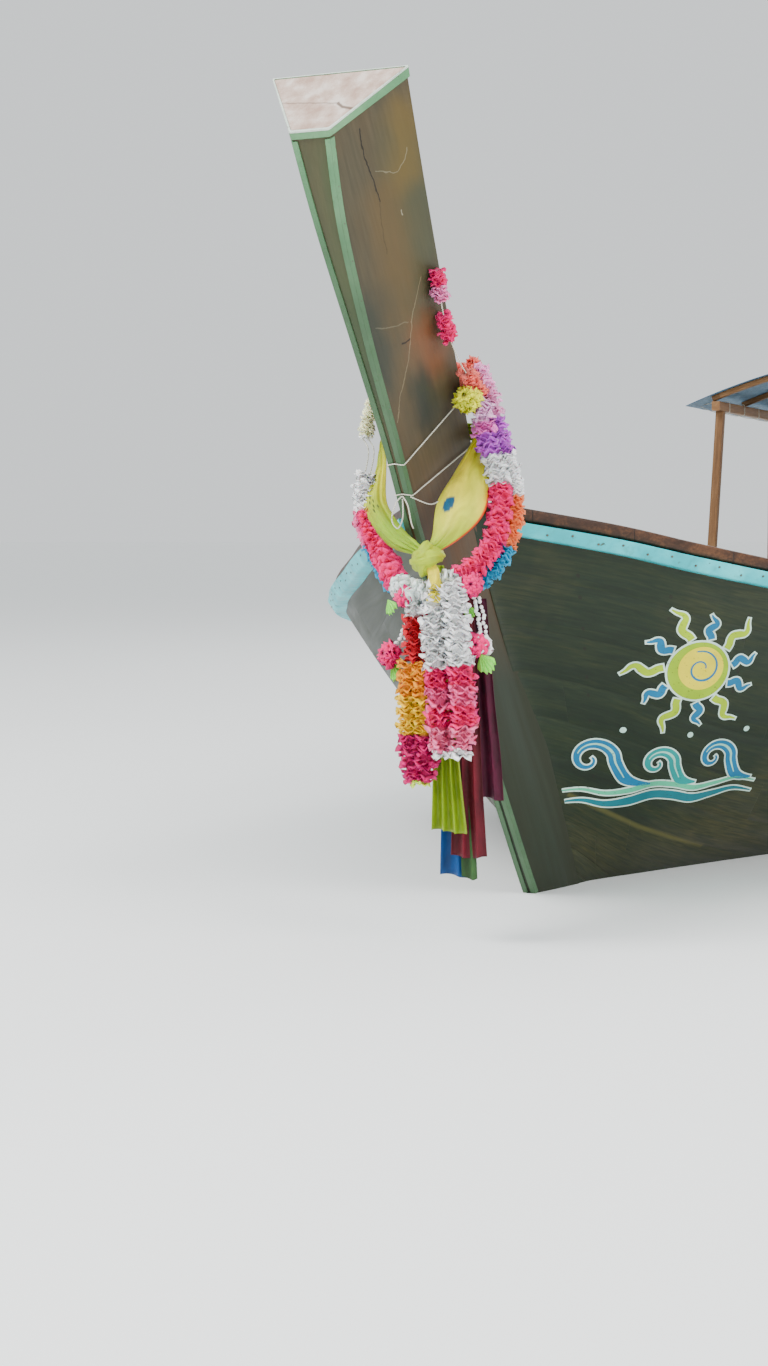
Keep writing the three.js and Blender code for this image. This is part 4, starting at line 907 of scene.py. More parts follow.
rail_u = np.linspace(1.0, LAST, 157)
rail_top, rail_below, rail_side = at_sheer(rail_u)
rub_ring = rounded(sweep(rail_top, [(-6 * MM, RAIL_DROP), (RAIL_THICK, RAIL_DROP),
    (RAIL_THICK, RAIL_DROP + RAIL_HEIGHT), (-6 * MM, RAIL_DROP + RAIL_HEIGHT)], rail_side, rail_below),
    6 * MM, steps=5)
upright = np.broadcast_to([0, 0, 1.0], rail_side.shape)
cap_ring = rounded(sweep(rail_top, [(CAP_OUT, 0.3 * MM), (CAP_OUT, CAP_HEIGHT), (-CAP_IN, CAP_HEIGHT),
    (-CAP_IN, 0.3 * MM)], rail_side, upright), 7 * MM, steps=5)
rail_run = lengths(rail_top)
turquoise = painted("turquoise_rail_paint", ["#16a1a8", "#20bac2", "#4cd5da"], "#6d6248", wear=0.64,
    rough=(0.3, 0.5), grime="#3e7d78")
cap_wood, _ = timber("red_brown_varnished_cap", ["#27180f", "#3b2417", "#5f3c24"], 0.2, 3.2, 150, along="XYZ",
    rough=(0.4, 0.6), coat=0.15, edge=3 * MM)
rail_nail_u = np.interp(np.arange(0.15, rail_run[-1] - 0.1, 0.085), rail_run, rail_u)
nail_top, nail_down, nail_side = at_sheer(rail_nail_u)
nail_drop = RAIL_DROP + RAIL_HEIGHT * np.where(np.arange(len(rail_nail_u)) % 2, 0.36, 0.6)[:, None]
rail_nails = domes(nail_top + nail_down * nail_drop + nail_side * RAIL_THICK, nail_side, 4.5 * MM, 1.8 * MM)
for side, mirror in SIDES.items():
    rub = build(f"{side}_rub_rail_wood", [tube(rub_ring * mirror, uv=(rail_run, np.arange(21.0))),
        tube(rail_nails * mirror, kind=1)], [turquoise, nail_steel], sharp=50)
    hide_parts(f"{side}_rub_rail")
    cap = build(f"{side}_cap_rail_wood", [tube(cap_ring * mirror)], [cap_wood], sharp=50)
    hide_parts(f"{side}_cap_rail")

# %% [markdown]
# The garlands are strings of ruffled cloth blossoms: each blossom is a few gathered
# discs, pushed tight against the next, so the string reads as a bumpy, crinkled rope.
# Every disc is one closed ring of about a hundred faces whose rim waves up and down.
# Its colour is darker towards the string, where little light comes in.

# %% Ruffled blossoms
chance = np.random.default_rng(11)


def hexes(colours):
    """Linear colours of a list of hex values, one row each."""
    return np.array([linear(colour)[:3] for colour in colours])


def vivid(colours):
    """Each colour pushed 1.1 times as far from its own grey, since petals shade each other."""
    grey = colours.mean(-1, keepdims=True)
    return np.clip((grey + 1.1 * (colours - grey)) * 1.55, 0.003, 1.0)


def even(path, pitch, loop=False):
    """Points at equal distances along a path, with their place as a row number."""
    path = from_stem(path)
    rows = np.concatenate([path, path[:1]]) if loop else path
    fine = through(rows, 24)
    run = lengths(fine)
    spots = np.arange(0, run[-1], pitch)
    place = np.stack([np.interp(spots, run, fine[:, n]) for n in range(3)], -1)
    return place, np.interp(spots, run, np.linspace(0, len(rows) - 1, len(fine)))


def ruffles(places, radius, colours, sectors=26, waves=5, lump=4, depth=0.24, axes=None):
    """Discs of blossom along a path.

    A ring's radius is R (1 + 0.13 sin(w a + p)), and its rim leaves the disc's plane by
    depth R r r sin(w a + q), where a is the angle and r grows from 0.2 at the string to 1.
    """
    count = len(places)
    tangent, level, up = axes or across(places)
    angle = turns(sectors)[None, None]
    phase = chance.uniform(0, 2 * np.pi, (3, count, 1, 1))
    bloom = 0.97 + 0.13 * np.sin(2 * np.pi * np.arange(count) / lump + chance.uniform(0, 6))
    size = (np.broadcast_to(radius, count) * bloom * chance.uniform(0.92, 1.08, count))[:, None, None]
    part = np.array([0.2, 0.62, 1.0, 0.66])[None, :, None]
    edge = 1 + 0.13 * part * np.sin(waves * angle + phase[0]) + 0.06 * np.sin(3 * angle + phase[1])
    reach = size * part * edge
    curl = size * depth * part ** 2 * np.sin(waves * angle + phase[2])
    curl = curl + size * 0.1 * part * np.sin(2 * waves * angle + phase[1])
    thick = np.array([0.8, 0.9, 0.0, -0.9])[None, :, None] * MM
    lean = chance.uniform(-0.26, 0.26, (2, count, 1, 1))
    lift = curl + thick + reach * (lean[0] * np.cos(angle) + lean[1] * np.sin(angle))
    points = (places[:, None, None] + tangent[:, None, None] * lift[..., None]
        + level[:, None, None] * (reach * np.cos(angle))[..., None]
        + up[:, None, None] * (reach * np.sin(angle))[..., None])
    # Painted shade and light: darker towards the string, lighter at the rim, and lighter or darker where the
    # rim's waves rise or dip
    shade = np.array([0.5, 0.88, 1.15, 0.8])[None, :, None, None]
    shade = shade * (1 + 0.12 * np.sin(waves * angle + phase[2]))[..., None]
    own = chance.uniform(0.9, 1.08, (count, 1, 1, 1))
    tint = vivid(np.broadcast_to(colours, (count, 3)))[:, None, None] * shade * own
    return patch(points, wrap=(True, True), tint=tint)


def core(places, radius, colours):
    """The pressed middle of a string of blossoms: tubes of 0.5 R, broken where the string is bare."""
    # The core is coloured at 0.6 of the blossoms' colour: painted shade deep between the petals
    tones = vivid(np.broadcast_to(colours, (len(places), 3))) * 0.6
    breaks = np.flatnonzero(np.linalg.norm(np.diff(places, axis=0), axis=-1) > 20 * MM) + 1
    wide = np.broadcast_to(radius, len(places)) * 0.5
    tubes = []
    for part in np.split(np.arange(len(places)), breaks):
        ring = rings_along(places[part], wide[part][:, None, None], 10)
        tubes.append(tube(ring, tint=tones[part][:, None]))
    return tubes


def banded(place, bands):
    """Colour of each place from bands of (start place, hex), each up to the next one's start."""
    starts = np.array([start for start, _ in bands])
    index = np.clip(np.searchsorted(starts, place, side="right") - 1, 0, None)
    return hexes([colour for _, colour in bands])[index]


def pompom(centre, way, radius, colour, discs=8, waves=7):
    """A ball of discs: their radius follows sqrt(1 - z z) along the way it faces."""
    way = unit(floats(way))
    z = np.linspace(-0.8, 0.85, discs)
    places = from_stem(centre) + way * (z * radius * 0.8)[:, None]
    level = unit(np.cross(way, [0.1, 0, 1.0]))
    axes = [np.broadcast_to(axis, places.shape) for axis in (way, level, np.cross(way, level))]
    return ruffles(places, radius * np.sqrt(1 - z * z), hexes([colour]), 28, waves, lump=3, depth=0.26,
        axes=axes)


petal, petal_shader, node = new_finish("dyed_petal_cloth", {"Sheen Weight": 0.1, "Sheen Roughness": 0.5,
    "Specular IOR Level": 0.2, "Subsurface Weight": 0.12, "Subsurface Scale": 4 * MM})
petal_tint = node("Attribute", attribute_name="tint")
petal_place = node("TexCoord").outputs["Object"]
petal_noise = node("TexNoise", (petal_place, 220.0, 3.0))
petal_weave = node("TexNoise", (petal_place, 1400.0, 1.0))
petal_light = node("MapRange", (petal_noise, 0.3, 0.7, 0.82, 1.12))
petal_colour = node("Mix", (1.0, petal_tint, petal_light), "RGBA", blend_type="MULTIPLY")
petal_rise = node("Mix", (0.5, petal_noise, petal_weave))
petal_bump = node("Bump", {"Height": petal_rise, "Distance": 0.5 * MM, "Strength": 0.6})
petal_rough = node("MapRange", {0: petal_weave, 3: 0.5, 4: 0.8})
feed(petal_shader, petal_colour, petal_rough, petal_bump)
PINK, CORAL, WHITE, GREY_WHITE = "#f6316a", "#f4675e", "#eef0ee", "#ccd2cf"
PURPLE, BLUE, LIME, MAGENTA = "#a855b4", "#0a7ea0", "#b6ee55", "#aa085a"
print("petal colours:", PINK, CORAL, WHITE, PURPLE, BLUE, LIME, MAGENTA)

# %% [markdown]
# A long loop hangs round the prow over the scarf. It is two strings of blossoms: an inner
# one all the way round, and an outer one where the colours double. A shorter garland
# climbs behind the prow, with bare string between its three bunches of blossoms.

# %% Flower loop
FLOWER_PATH = [[776, 0, 1500], [785, 120, 1482], [800, 174, 1410], [800, 194, 1320], [804, 231, 1204],
    [842, 250, 1101], [900, 232, 999], [950, 150, 932], [960, 70, 907], [930, 5, 925], [870, -62, 975],
    [802, -146, 1076], [770, -174, 1183], [758, -184, 1316], [765, -140, 1445]]
UPPER_PATH = [[1040, 150, 1716], [975, 142, 1600], [900, 152, 1500], [812, 170, 1430]]
loop_spot, loop_row = even(FLOWER_PATH, 8.5 * MM, loop=True)
loop_colour = banded(loop_row, [(0, CORAL), (1.9, "#efa6c4"), (2.6, "#d66fb0"), (2.95, PURPLE), (3.45, WHITE),
    (4.15, PINK), (6.75, GREY_WHITE), (9.25, PINK), (11.45, WHITE), (13.1, "#dcefb0"), (14.1, PINK)])
bare = (loop_row > 12.35) & (loop_row < 13.05)
loop_centre = loop_spot.mean(0)
inner_spot = loop_spot[~bare]
inner_row = loop_row[~bare]
from_centre = unit((inner_spot - loop_centre) * [0, 1, 1])
loop_radius = np.where((inner_row > 12.9) & (inner_row < 14.2), 21 * MM, 31 * MM)
inner_place = inner_spot - from_centre * 8 * MM + [0.008, 0, 0]
inner_string = ruffles(inner_place, loop_radius, loop_colour[~bare])
outer_bands = [(0, CORAL), (1.2, "#eb8fb4"), (2.7, PURPLE), (3.5, WHITE), (4.35, "#ff6e4a"), (5.55, BLUE),
    (6.75, "#e2e6e4"), (9.45, BLUE), (10.75, "#e8678f"), (11.6, WHITE)]
outer_on = ((loop_row > 0.9) & (loop_row < 6.7)) | ((loop_row > 9.5) & (loop_row < 12.2))
outer_spot = loop_spot[outer_on]
outer_way = unit((outer_spot - loop_centre) * [0, 1, 1])
outer_place = outer_spot + outer_way * 24 * MM - [0.016, 0, 0]
outer_colour = banded(loop_row[outer_on], outer_bands)
outer_string = ruffles(outer_place, 23 * MM, outer_colour, waves=6)
upper_spot, upper_row = even(UPPER_PATH, 8.5 * MM)
in_bunch = (upper_row < 0.62) | ((upper_row > 0.84) & (upper_row < 1.45)) | (upper_row > 2.25)
upper_colour = banded(upper_row[in_bunch], [(0, PINK), (0.35, "#f27aa4"), (0.84, PINK), (2.2, CORAL)])
upper_string = ruffles(upper_spot[in_bunch], 21 * MM, upper_colour)
cores = [*core(inner_place, loop_radius, loop_colour[~bare]), *core(outer_place, 23 * MM, outer_colour),
    *core(upper_spot[in_bunch], 20 * MM, upper_colour)]
yellow_ball = pompom([842, 150, 1412], (0.8, -0.1, 0.3), 36 * MM, "#e6f04a", discs=10, waves=11)
port_pompom = pompom([968, 214, 937], (1, 0.3, 0.1), 29 * MM, PINK)
starboard_pompom = pompom([966, 30, 906], (1, 0, 0.1), 28 * MM, PINK)


def leaf(centre, length, width, out, colour):
    """A pleated fan: narrow where it hangs, widest low down, cupped by 1 - b b, pleated by sin."""
    a, b = np.meshgrid(np.linspace(-1, 1, 13), np.linspace(-1, 1, 25), indexing="ij")
    half = width / 2 * np.sqrt(np.clip(1 - ((a - 0.45) / 1.5) ** 2, 0, 1)) * (0.6 + 0.4 * a) * b
    out = unit(floats(out))
    along = unit(np.cross([0, 0, 1.0], out)) * 0.5 + [0, 0, -0.85]
    side = unit(np.cross(out, along))
    low_edge = (1 - 0.45 * b * b + 0.07 * np.cos(15 * b)) * (a + 1) - 1
    cup = 0.4 * width * (1 - b * b) * (0.4 + 0.3 * a) + 0.05 * width * (1 + a) * np.sin(15 * b)
    base = from_stem(centre)
    top = base + (low_edge * length / 2)[..., None] * along + half[..., None] * side + cup[..., None] * out
    ring = np.concatenate([top, (top - out * 1.2 * MM)[:, ::-1]], axis=1)
    # Each pleat is coloured lighter on one flank and darker on the other: painted light and shade
    pleat_light_and_shade = np.cos(15 * np.concatenate([b, b[:, ::-1]], axis=1))
    tint = hexes([colour])[0] * (0.9 + 0.25 * pleat_light_and_shade)[..., None]
    return tube(ring, tint=tint)


BUD_RADIUS = 5 * MM
BUD_SPREAD = 9 * MM


def beads(path, colour):
    """Three strings of small buds: each is a spindle of five rings along the string."""
    spots, _ = even(path, 11 * MM)
    made = []
    for n in range(3):
        wobble = chance.uniform(-1, 1, (len(spots), 3)) * BUD_SPREAD * 0.35
        shift = BUD_SPREAD * np.array([0.3 * n, np.cos(2.1 * n), 0])
        places = spots + wobble + shift
        tangent, level, up = across(places)
        angle = turns(8)[None, None, :, None]
        lift = np.array([-1, -0.55, 0.1, 0.65, 1])[None, :, None, None]
        wide = np.array([0.15, 0.8, 1.0, 0.75, 0.12])[None, :, None, None] * BUD_RADIUS
        points = (places[:, None, None] + tangent[:, None, None] * lift * BUD_RADIUS * 1.15
            + (level[:, None, None] * np.cos(angle) + up[:, None, None] * np.sin(angle)) * wide)
        made.append(tube(points, tint=hexes([colour])[0]))
    return made


LEAF = "#8ff05a"
tassels = [
    *beads([[958, 214, 925], [950, 226, 880], [950, 234, 840], [950, 236, 800]], WHITE),
    *beads([[958, 50, 900], [955, 40, 860], [950, 22, 815], [948, 4, 785]], WHITE),
    pompom([944, 230, 785], (-1, 0.35, -0.2), 32 * MM, WHITE, discs=4),
    pompom([956, 224, 785], (1, 0.2, 0.1), 29 * MM, PINK),
    pompom([950, -22, 756], (1, -0.5, 0.2), 32 * MM, PINK),
    leaf([948, 246, 738], 56 * MM, 54 * MM, (1, 0.3, 0.2), LEAF),
    leaf([944, -6, 712], 56 * MM, 50 * MM, (1, -0.4, 0.2), LEAF),
    leaf([938, -22, 876], 46 * MM, 44 * MM, (1, -0.3, 0.3), LEAF),
    leaf([944, 198, 868], 38 * MM, 34 * MM, (1, 0.3, 0.2), LEAF),
]
loop = build("flower_loop_blossoms", [inner_string, outer_string, upper_string, *cores, yellow_ball,
    port_pompom, starboard_pompom, *tassels], [petal])
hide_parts("flower_loop")

# %% [markdown]
# Two short strands hang from the scarf's knot: one white, then pink with a white tip, of
# two strings side by side, and one red, then gold, then magenta, that ends in lime.

# %% Hanging strands
WHITE_PINK = [[990, 150, 940], [990, 154, 800], [988, 164, 710], [988, 170, 600], [988, 170, 503]]
RED_GOLD = [[962, 58, 885], [960, 56, 780], [960, 60, 600], [960, 68, 428]]
strand_spot, strand_row = even(WHITE_PINK, 8.5 * MM)
strand_colour = banded(strand_row, [(0, "#d5d8d6"), (1.62, WHITE), (1.78, PINK), (2.3, "#fb5c86"),
    (2.7, PINK), (3.2, "#fb6c8c"), (3.78, WHITE)])
strand_radius = np.interp(strand_row, [0, 0.5, 3.2, 4], [30, 34, 35, 27]) * MM
strands = []
white_pink_cores = []
for shift, seed_waves in ((-1, 6), (1, 5)):
    beside = shift * np.interp(strand_row, [0, 0.6, 3.0, 4], [20, 33, 34, 26]) * MM
    turned = np.stack([0 * beside + 0.004 * shift, beside, 0 * beside + 0.004 * shift], -1)
    strands.append(ruffles(strand_spot + turned, strand_radius, strand_colour, waves=seed_waves))
    white_pink_cores += core(strand_spot + turned, strand_radius, strand_colour)
gold_spot, gold_row = even(RED_GOLD, 8 * MM)
gold_bands = [(0, "#d3d6d4"), (0.35, "#a6002a"), (1.28, "#ec8800"), (1.75, "#f2aa00"), (2.23, MAGENTA),
    (2.93, LIME)]
gold_colour = banded(gold_row, gold_bands)
doubled = gold_row > 1.28
strands.append(ruffles(gold_spot[~doubled], 31 * MM, gold_colour[~doubled]))
red_gold_cores = core(gold_spot[~doubled], 31 * MM, gold_colour[~doubled])
for shift in (-1, 1):
    beside = shift * np.interp(gold_row[doubled], [1.28, 1.6, 2.7, 3], [18, 21, 20, 8]) * MM
    width = np.interp(gold_row[doubled], [1.28, 2.6, 2.9, 3], [29, 32, 27, 20]) * MM
    gold_place = gold_spot[doubled] + beside[:, None] * [0, 1, 0]
    strands.append(ruffles(gold_place, width, gold_colour[doubled]))
    red_gold_cores += core(gold_place, width, gold_colour[doubled])
white_pink = build("white_pink_blossoms", strands[:2] + white_pink_cores, [petal])
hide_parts("white_pink_strand")
red_gold = build("red_gold_blossoms", strands[2:] + red_gold_cores, [petal])
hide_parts("red_gold_strand")

# %% [markdown]
# The scarf is one thin shiny cloth, tied round the prow with a knot in front. Each lobe
# is broad in the middle and gathers towards the knot, so its folds run along the cloth
# and crowd together there. The shape is a looped band: its two edges are measured curves,
# the cloth between them bulges a little, and the folds are waves whose height grows as
# the band narrows. A red hem is sewn along the outer edge.

# %% Cloth helpers
CLOTH_THICK = 1.2 * MM


def normals_of(grid, looped=False):
    """Unit normals of a grid: the step along the rows crossed with the step across."""
    if looped:
        padded_grid = np.concatenate([grid[-2:-1], grid, grid[1:2]])
        along = np.gradient(padded_grid, axis=0)[1:-1]
    else:
        along = np.gradient(grid, axis=0)
    return unit(np.cross(along, np.gradient(grid, axis=1)))


def cloth(grid, looped=False, tint=None):
    """A thin closed band: the grid's front, then its back in reverse order, as one ring."""
    out = normals_of(grid, looped)
    ring = np.concatenate([grid, (grid - out * CLOTH_THICK)[:, ::-1]], axis=1)
    columns = grid.shape[1]
    run = lengths(grid[:, columns // 2])
    wide = np.linalg.norm(np.diff(grid, axis=1), axis=-1).sum(1).mean()
    over = np.linspace(0, wide, columns)
    if tint is not None:
        tint = np.concatenate([tint, tint[:, ::-1]], axis=1)
    if looped:
        ring = ring[:-1]
        tint = None if tint is None else tint[:-1]
    return patch(ring, wrap=(looped, True), uv=(run, np.concatenate([over, over[::-1], over[:1]])),
        ends=not looped, tint=tint)


def spread_area(grid):
    """Area of a grid of quads: half the length of the crossed diagonals, added up."""
    one = grid[1:, 1:] - grid[:-1, :-1]
    other = grid[1:, :-1] - grid[:-1, 1:]
    return float(np.linalg.norm(np.cross(one, other), axis=-1).sum() / 2)


def woven(name, tones, rough, sheen, thread=0.9 * MM, soft=0.1):
    """Thin woven cloth: a tint for its dye, faint threads crossing, and creases painted darker in their
    hollows, as shade.

    The threads are drawn 0.9 mm apart, twice as coarse as the real ones, to show at all.
    """
    material, shader, node = new_finish(name, {"Sheen Weight": sheen, "Sheen Roughness": 0.35,
        "Specular IOR Level": 0.25, "Subsurface Weight": soft, "Subsurface Scale": 3 * MM})
    place = node("TexCoord")
    dye = node("Attribute", attribute_name="tint")
    warp = node("TexWave", {"Vector": place.outputs["UV"], "Scale": 0.314 / thread, "Distortion": 0.4},
        bands_direction="X").outputs["Fac"]
    weft = node("TexWave", {"Vector": place.outputs["UV"], "Scale": 0.314 / thread, "Distortion": 0.4},
        bands_direction="Y").outputs["Fac"]
    weave = node("Math", (warp, weft), "MULTIPLY")
    stretch_uv = node("Mapping", {"Vector": place.outputs["UV"], "Scale": (0.35, 1, 1)})
    crease = node("TexNoise", {"Vector": stretch_uv, "Scale": 38.0, "Detail": 4.0, "Distortion": 0.8})
    # Painted shade: the cloth is darker where the crease noise sinks, in the creases' hollows
    crease_shade = node("ValToRGB", [crease], stops=tones)
    colour = node("Mix", (1.0, dye, crease_shade), "RGBA", blend_type="MULTIPLY")
    fold = node("Bump", {"Height": crease, "Distance": 3.0 * MM, "Strength": 0.45})
    bump = node("Bump", {"Height": weave, "Normal": fold, "Distance": 0.25 * MM, "Strength": 0.5})
    gloss = node("MapRange", {0: weave, 3: rough[0], 4: rough[1]})
    feed(shader, colour, gloss, bump)
    return material


# %% Scarf
OUTER_EDGE = np.array([[708, 0, 1314], [702, 124, 1308], [742, 150, 1280], [792, 191, 1226], [858, 208, 1130],
    [915, 180, 1068], [965, 110, 1016], [930, 27, 1016], [876, -58, 1036], [832, -130, 1094],
    [789, -172, 1154], [742, -156, 1224], [702, -124, 1308]])
INNER_EDGE = np.array([[736, 0, 1356], [732, 128, 1350], [760, 128, 1306], [820, 100, 1217], [885, 84, 1145],
    [942, 94, 1056], [970, 84, 1030], [940, 43, 1050], [892, 0, 1068], [845, -56, 1110], [800, -100, 1156],
    [752, -122, 1250], [732, -128, 1350]])
SCARF_COLUMNS = 45
OPEN_BAND = 0.085
FOLD_RISE = 3.6 * MM
outer_edge = through(np.concatenate([OUTER_EDGE, OUTER_EDGE[:1]]), 12) * MM
inner_edge = through(np.concatenate([INNER_EDGE, INNER_EDGE[:1]]), 12) * MM
scarf_row = np.linspace(0, 13, len(outer_edge))[:, None]
over = np.linspace(0, 1, SCARF_COLUMNS)[None]
flat_scarf = outer_edge[:, None] * (1 - over[..., None]) + inner_edge[:, None] * over[..., None]
flat_scarf += [STEM_FOOT, 0, 0]
scarf_out = normals_of(flat_scarf, True)
scarf_centre = flat_scarf.mean((0, 1))
away = ((flat_scarf - scarf_centre) * scarf_out).sum(-1, keepdims=True)
scarf_out *= np.sign(away.mean())
band = np.linalg.norm(outer_edge - inner_edge, axis=-1)[:, None]
gathered = np.clip(1.25 - band / OPEN_BAND, 0.12, 1.0)
folds = (np.sin(2 * np.pi * 3.5 * over + 0.5 * np.sin(scarf_row * 1.3)) + 0.5 * np.sin(2 * np.pi * 6.5 * over
    + scarf_row))
bulge = 4 * over * (1 - over) * band * 0.24
scarf_grid = flat_scarf + scarf_out * (bulge + folds * gathered * FOLD_RISE)[..., None]
# The colours: lime dye under broad yellow lights that are a painted sheen of the shiny cloth, a red hem, a
# blue spot to port, dark specks to starboard
lime_dye, yellow_sheen, hem_dye, spot_dye, speck_dye = hexes(["#90b40c", "#fff03a", "#e24a14", "#0c5a7c",
    "#2c3f22"])
streak = 0.8 + 0.2 * np.sin(2 * np.pi * (1.2 * over + 0.11 * scarf_row))
light = streak * np.clip(np.maximum(1.3 - 0.5 * np.abs(scarf_row - 3.3),
    0.7 - 0.35 * np.abs(scarf_row - 10.6)), 0, 1)
scarf_tint = lime_dye + (yellow_sheen - lime_dye) * light[..., None]
hem = ((over < 0.045) & (scarf_row > 2.6) & (scarf_row < 6.5))[..., None]
scarf_tint = np.where(hem, hem_dye, scarf_tint)
SPECKS = [
    (4.15, 0.72, 0.22, 0.12),
    (9.95, 0.42, 0.12, 0.035),
    (9.8, 0.55, 0.1, 0.03),
    (9.72, 0.4, 0.09, 0.03),
    (9.55, 0.5, 0.1, 0.03),
    (9.5, 0.66, 0.09, 0.03),
    (9.3, 0.44, 0.08, 0.03),
    (10.05, 0.12, 0.2, 0.06),
]
for n, (row, part, tall, wide) in enumerate(SPECKS):
    speck = (((over - part) / wide) ** 2 + ((scarf_row - row) / tall) ** 2 < 1)[..., None]
    scarf_tint = np.where(speck, speck_dye if n else spot_dye, scarf_tint)
scarf_cloth = woven("thin_satin_scarf", ["#cfcfcf", "#ffffff"], (0.38, 0.55), 0.1)

# The knot: a thick crumpled tube bent round its middle, and a slimmer one over its front
KNOT = from_stem([966, 92, 1002])


def crumpled_tube(path, radius, tint, folds_round=5, depth=0.14):
    """Tube whose radius is R (1 + depth sin(k a + b s)): folds that wind along it."""
    angle = turns(28)[None]
    run_part = np.linspace(0, 1, len(path))[:, None]
    wide = np.asarray(radius)[:, None] * (1 + depth * np.sin(folds_round * angle + 7 * run_part)
        + 0.4 * depth * np.sin((2 * folds_round + 1) * angle - 5 * run_part))
    points = rings_along(path, wide[..., None], 28)
    return tube(points, uv=(run_part[:, 0] * 0.2, np.linspace(0, 0.1, 29)), tint=tint)


turn = np.linspace(-0.75 * np.pi, 0.75 * np.pi, 33)
knot_sweep = KNOT + np.stack([14 * MM * np.cos(turn) + 2 * MM, 30 * MM * np.sin(turn * 0.66),
    8 * MM * np.sin(turn)], -1)
knot_radius = (16 + 14 * np.cos(turn / 1.6) ** 2) * MM
knot_tint = hexes(["#b2c81c"])[0]
knot_body = crumpled_tube(knot_sweep, knot_radius, knot_tint, folds_round=6, depth=0.12)
over_knot = np.linspace(-1, 1, 25)
knot_band = KNOT + np.stack([30 * MM * np.sqrt(1.05 - over_knot ** 2), 6 * MM * over_knot,
    34 * MM * over_knot], -1)
knot_wrap = crumpled_tube(knot_band, (13 + 4 * (1 - over_knot ** 2)) * MM, knot_tint, folds_round=4)
short_end = crumpled_tube(through(from_stem([[975, 100, 985], [990, 122, 960], [998, 128, 925],
    [998, 124, 895]]), 8), np.linspace(12, 17, 25) * MM, hexes(["#f2e023"])[0], folds_round=3, depth=0.2)


def tail(x, rows, folds_count, fold_deep, tint, phase):
    """A hanging cloth: rows of (z, left y, right y); folds deepen from the top to the hem."""
    rows = through(floats(rows), 14) * MM
    s = np.linspace(0, 1, 49)[None]
    part = np.linspace(0, 1, len(rows))[:, None]
    y = rows[:, 1:2] * (1 - s) + rows[:, 2:3] * s
    wave = np.sin(2 * np.pi * folds_count * s + phase + 0.8 * np.sin(2.5 * part))
    grid_x = x * MM + STEM_FOOT + wave * fold_deep * (0.35 + 0.65 * part)
    y = y + 0.5 * fold_deep * np.cos(2 * np.pi * folds_count * s + phase) * part
    z = rows[:, :1] + 4 * MM * np.sin(5 * s + phase) * part
    grid = np.stack([grid_x, y, np.broadcast_to(z, y.shape)], -1)
    # The folds are coloured lighter where they bulge forward and darker where they fall back: painted light
    # and shade
    shade = 0.8 + 0.2 * wave
    return grid, cloth(grid, tint=hexes([tint])[0] * np.broadcast_to(shade[..., None], grid.shape))


green_grid, green_tail = tail(905, [(985, 62, 112), (900, 84, 128), (620, 88, 146), (470, 84, 160),
    (300, 80, 183)], 3.2, 11 * MM, "#9aba1c", phase=1.0)
scarf = build("scarf_with_knot", [cloth(scarf_grid, looped=True, tint=scarf_tint), knot_body, knot_wrap,
    short_end, green_tail], [scarf_cloth])
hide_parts("scarf")
print(f"scarf: {spread_area(scarf_grid):.3f} m2 of band, {spread_area(green_grid):.3f} m2 of tail")

# %% Cloth tails
maroon_grid, maroon_front = tail(886, [(955, 130, 178), (700, 132, 196), (450, 130, 208), (235, 128, 222)],
    2.4, 7 * MM, "#680e20", phase=2.2)
purple_grid, purple_back = tail(862, [(900, 160, 210), (650, 176, 232), (500, 190, 250), (385, 194, 258)],
    1.7, 7 * MM, "#560a2e", phase=0.3)
blue_grid, blue_front = tail(868, [(895, 96, 140), (600, 92, 160), (380, 90, 178), (180, 86, 192)], 2.1,
    7 * MM, "#05498a", phase=0.8)
moss_grid, moss_edge = tail(878, [(895, 120, 150), (600, 128, 164), (300, 146, 188), (178, 152, 196)], 1.3,
    3 * MM, "#355a2c", phase=1.4)
thin_cloth = woven("thin_dyed_cotton", ["#b9b9b9", "#ffffff"], (0.55, 0.75), 0.1)
maroon = build("maroon_cloth_tail", [maroon_front, purple_back], [thin_cloth])
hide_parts("maroon_tail")
blue = build("blue_cloth_tail", [blue_front, moss_edge], [thin_cloth])
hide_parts("blue_tail")

# %% [markdown]
# Thin white strings tie the scarf and the garlands to the prow. They cross its faces at a
# slant, so their points are given as a row and a fraction of a face, which keeps each one
# lying on the timber.

# %% Tying strings
STRING_RADIUS = 1.7 * MM
STRING_PROUD = 4.5 * MM


def on_prow(row, part, side=1):
    """Point on the prow's side: a share of the way from front to rear edge, 4.5 mm proud."""
    rows = floats(row)
    entry = np.stack([np.interp(rows, np.arange(len(STEM_ROWS)), column) for column in STEM_ROWS.T], -1)
    a, b = stem_edges(entry)
    point = a + (b - a) * np.asarray(part)[:, None]
    out = unit(np.cross(b - a, [0.58, 0, 0.81]))
    out = out * np.sign(out[:, 1:2])
    return (point + out * STRING_PROUD) * [1, side, 1]


def string(path, radius=STRING_RADIUS, kind=0):
    """A thin twisted tube along a path of points in metres."""
    path = through(path, 8)
    return tube(rings_along(path, radius, 6), uv=(lengths(path), np.linspace(0, 0.012, 7)), kind=kind)


def front_turn(row):
    """Points across the front laths at a row, from port to starboard."""
    a = on_prow([row], [0.0])[0]
    ahead = np.array([7 * MM, 0, 5 * MM])
    return [a + ahead * 0.8, (a + ahead * 1.3) * [1, 0, 1], (a + ahead * 0.8) * [1, -1, 1]]


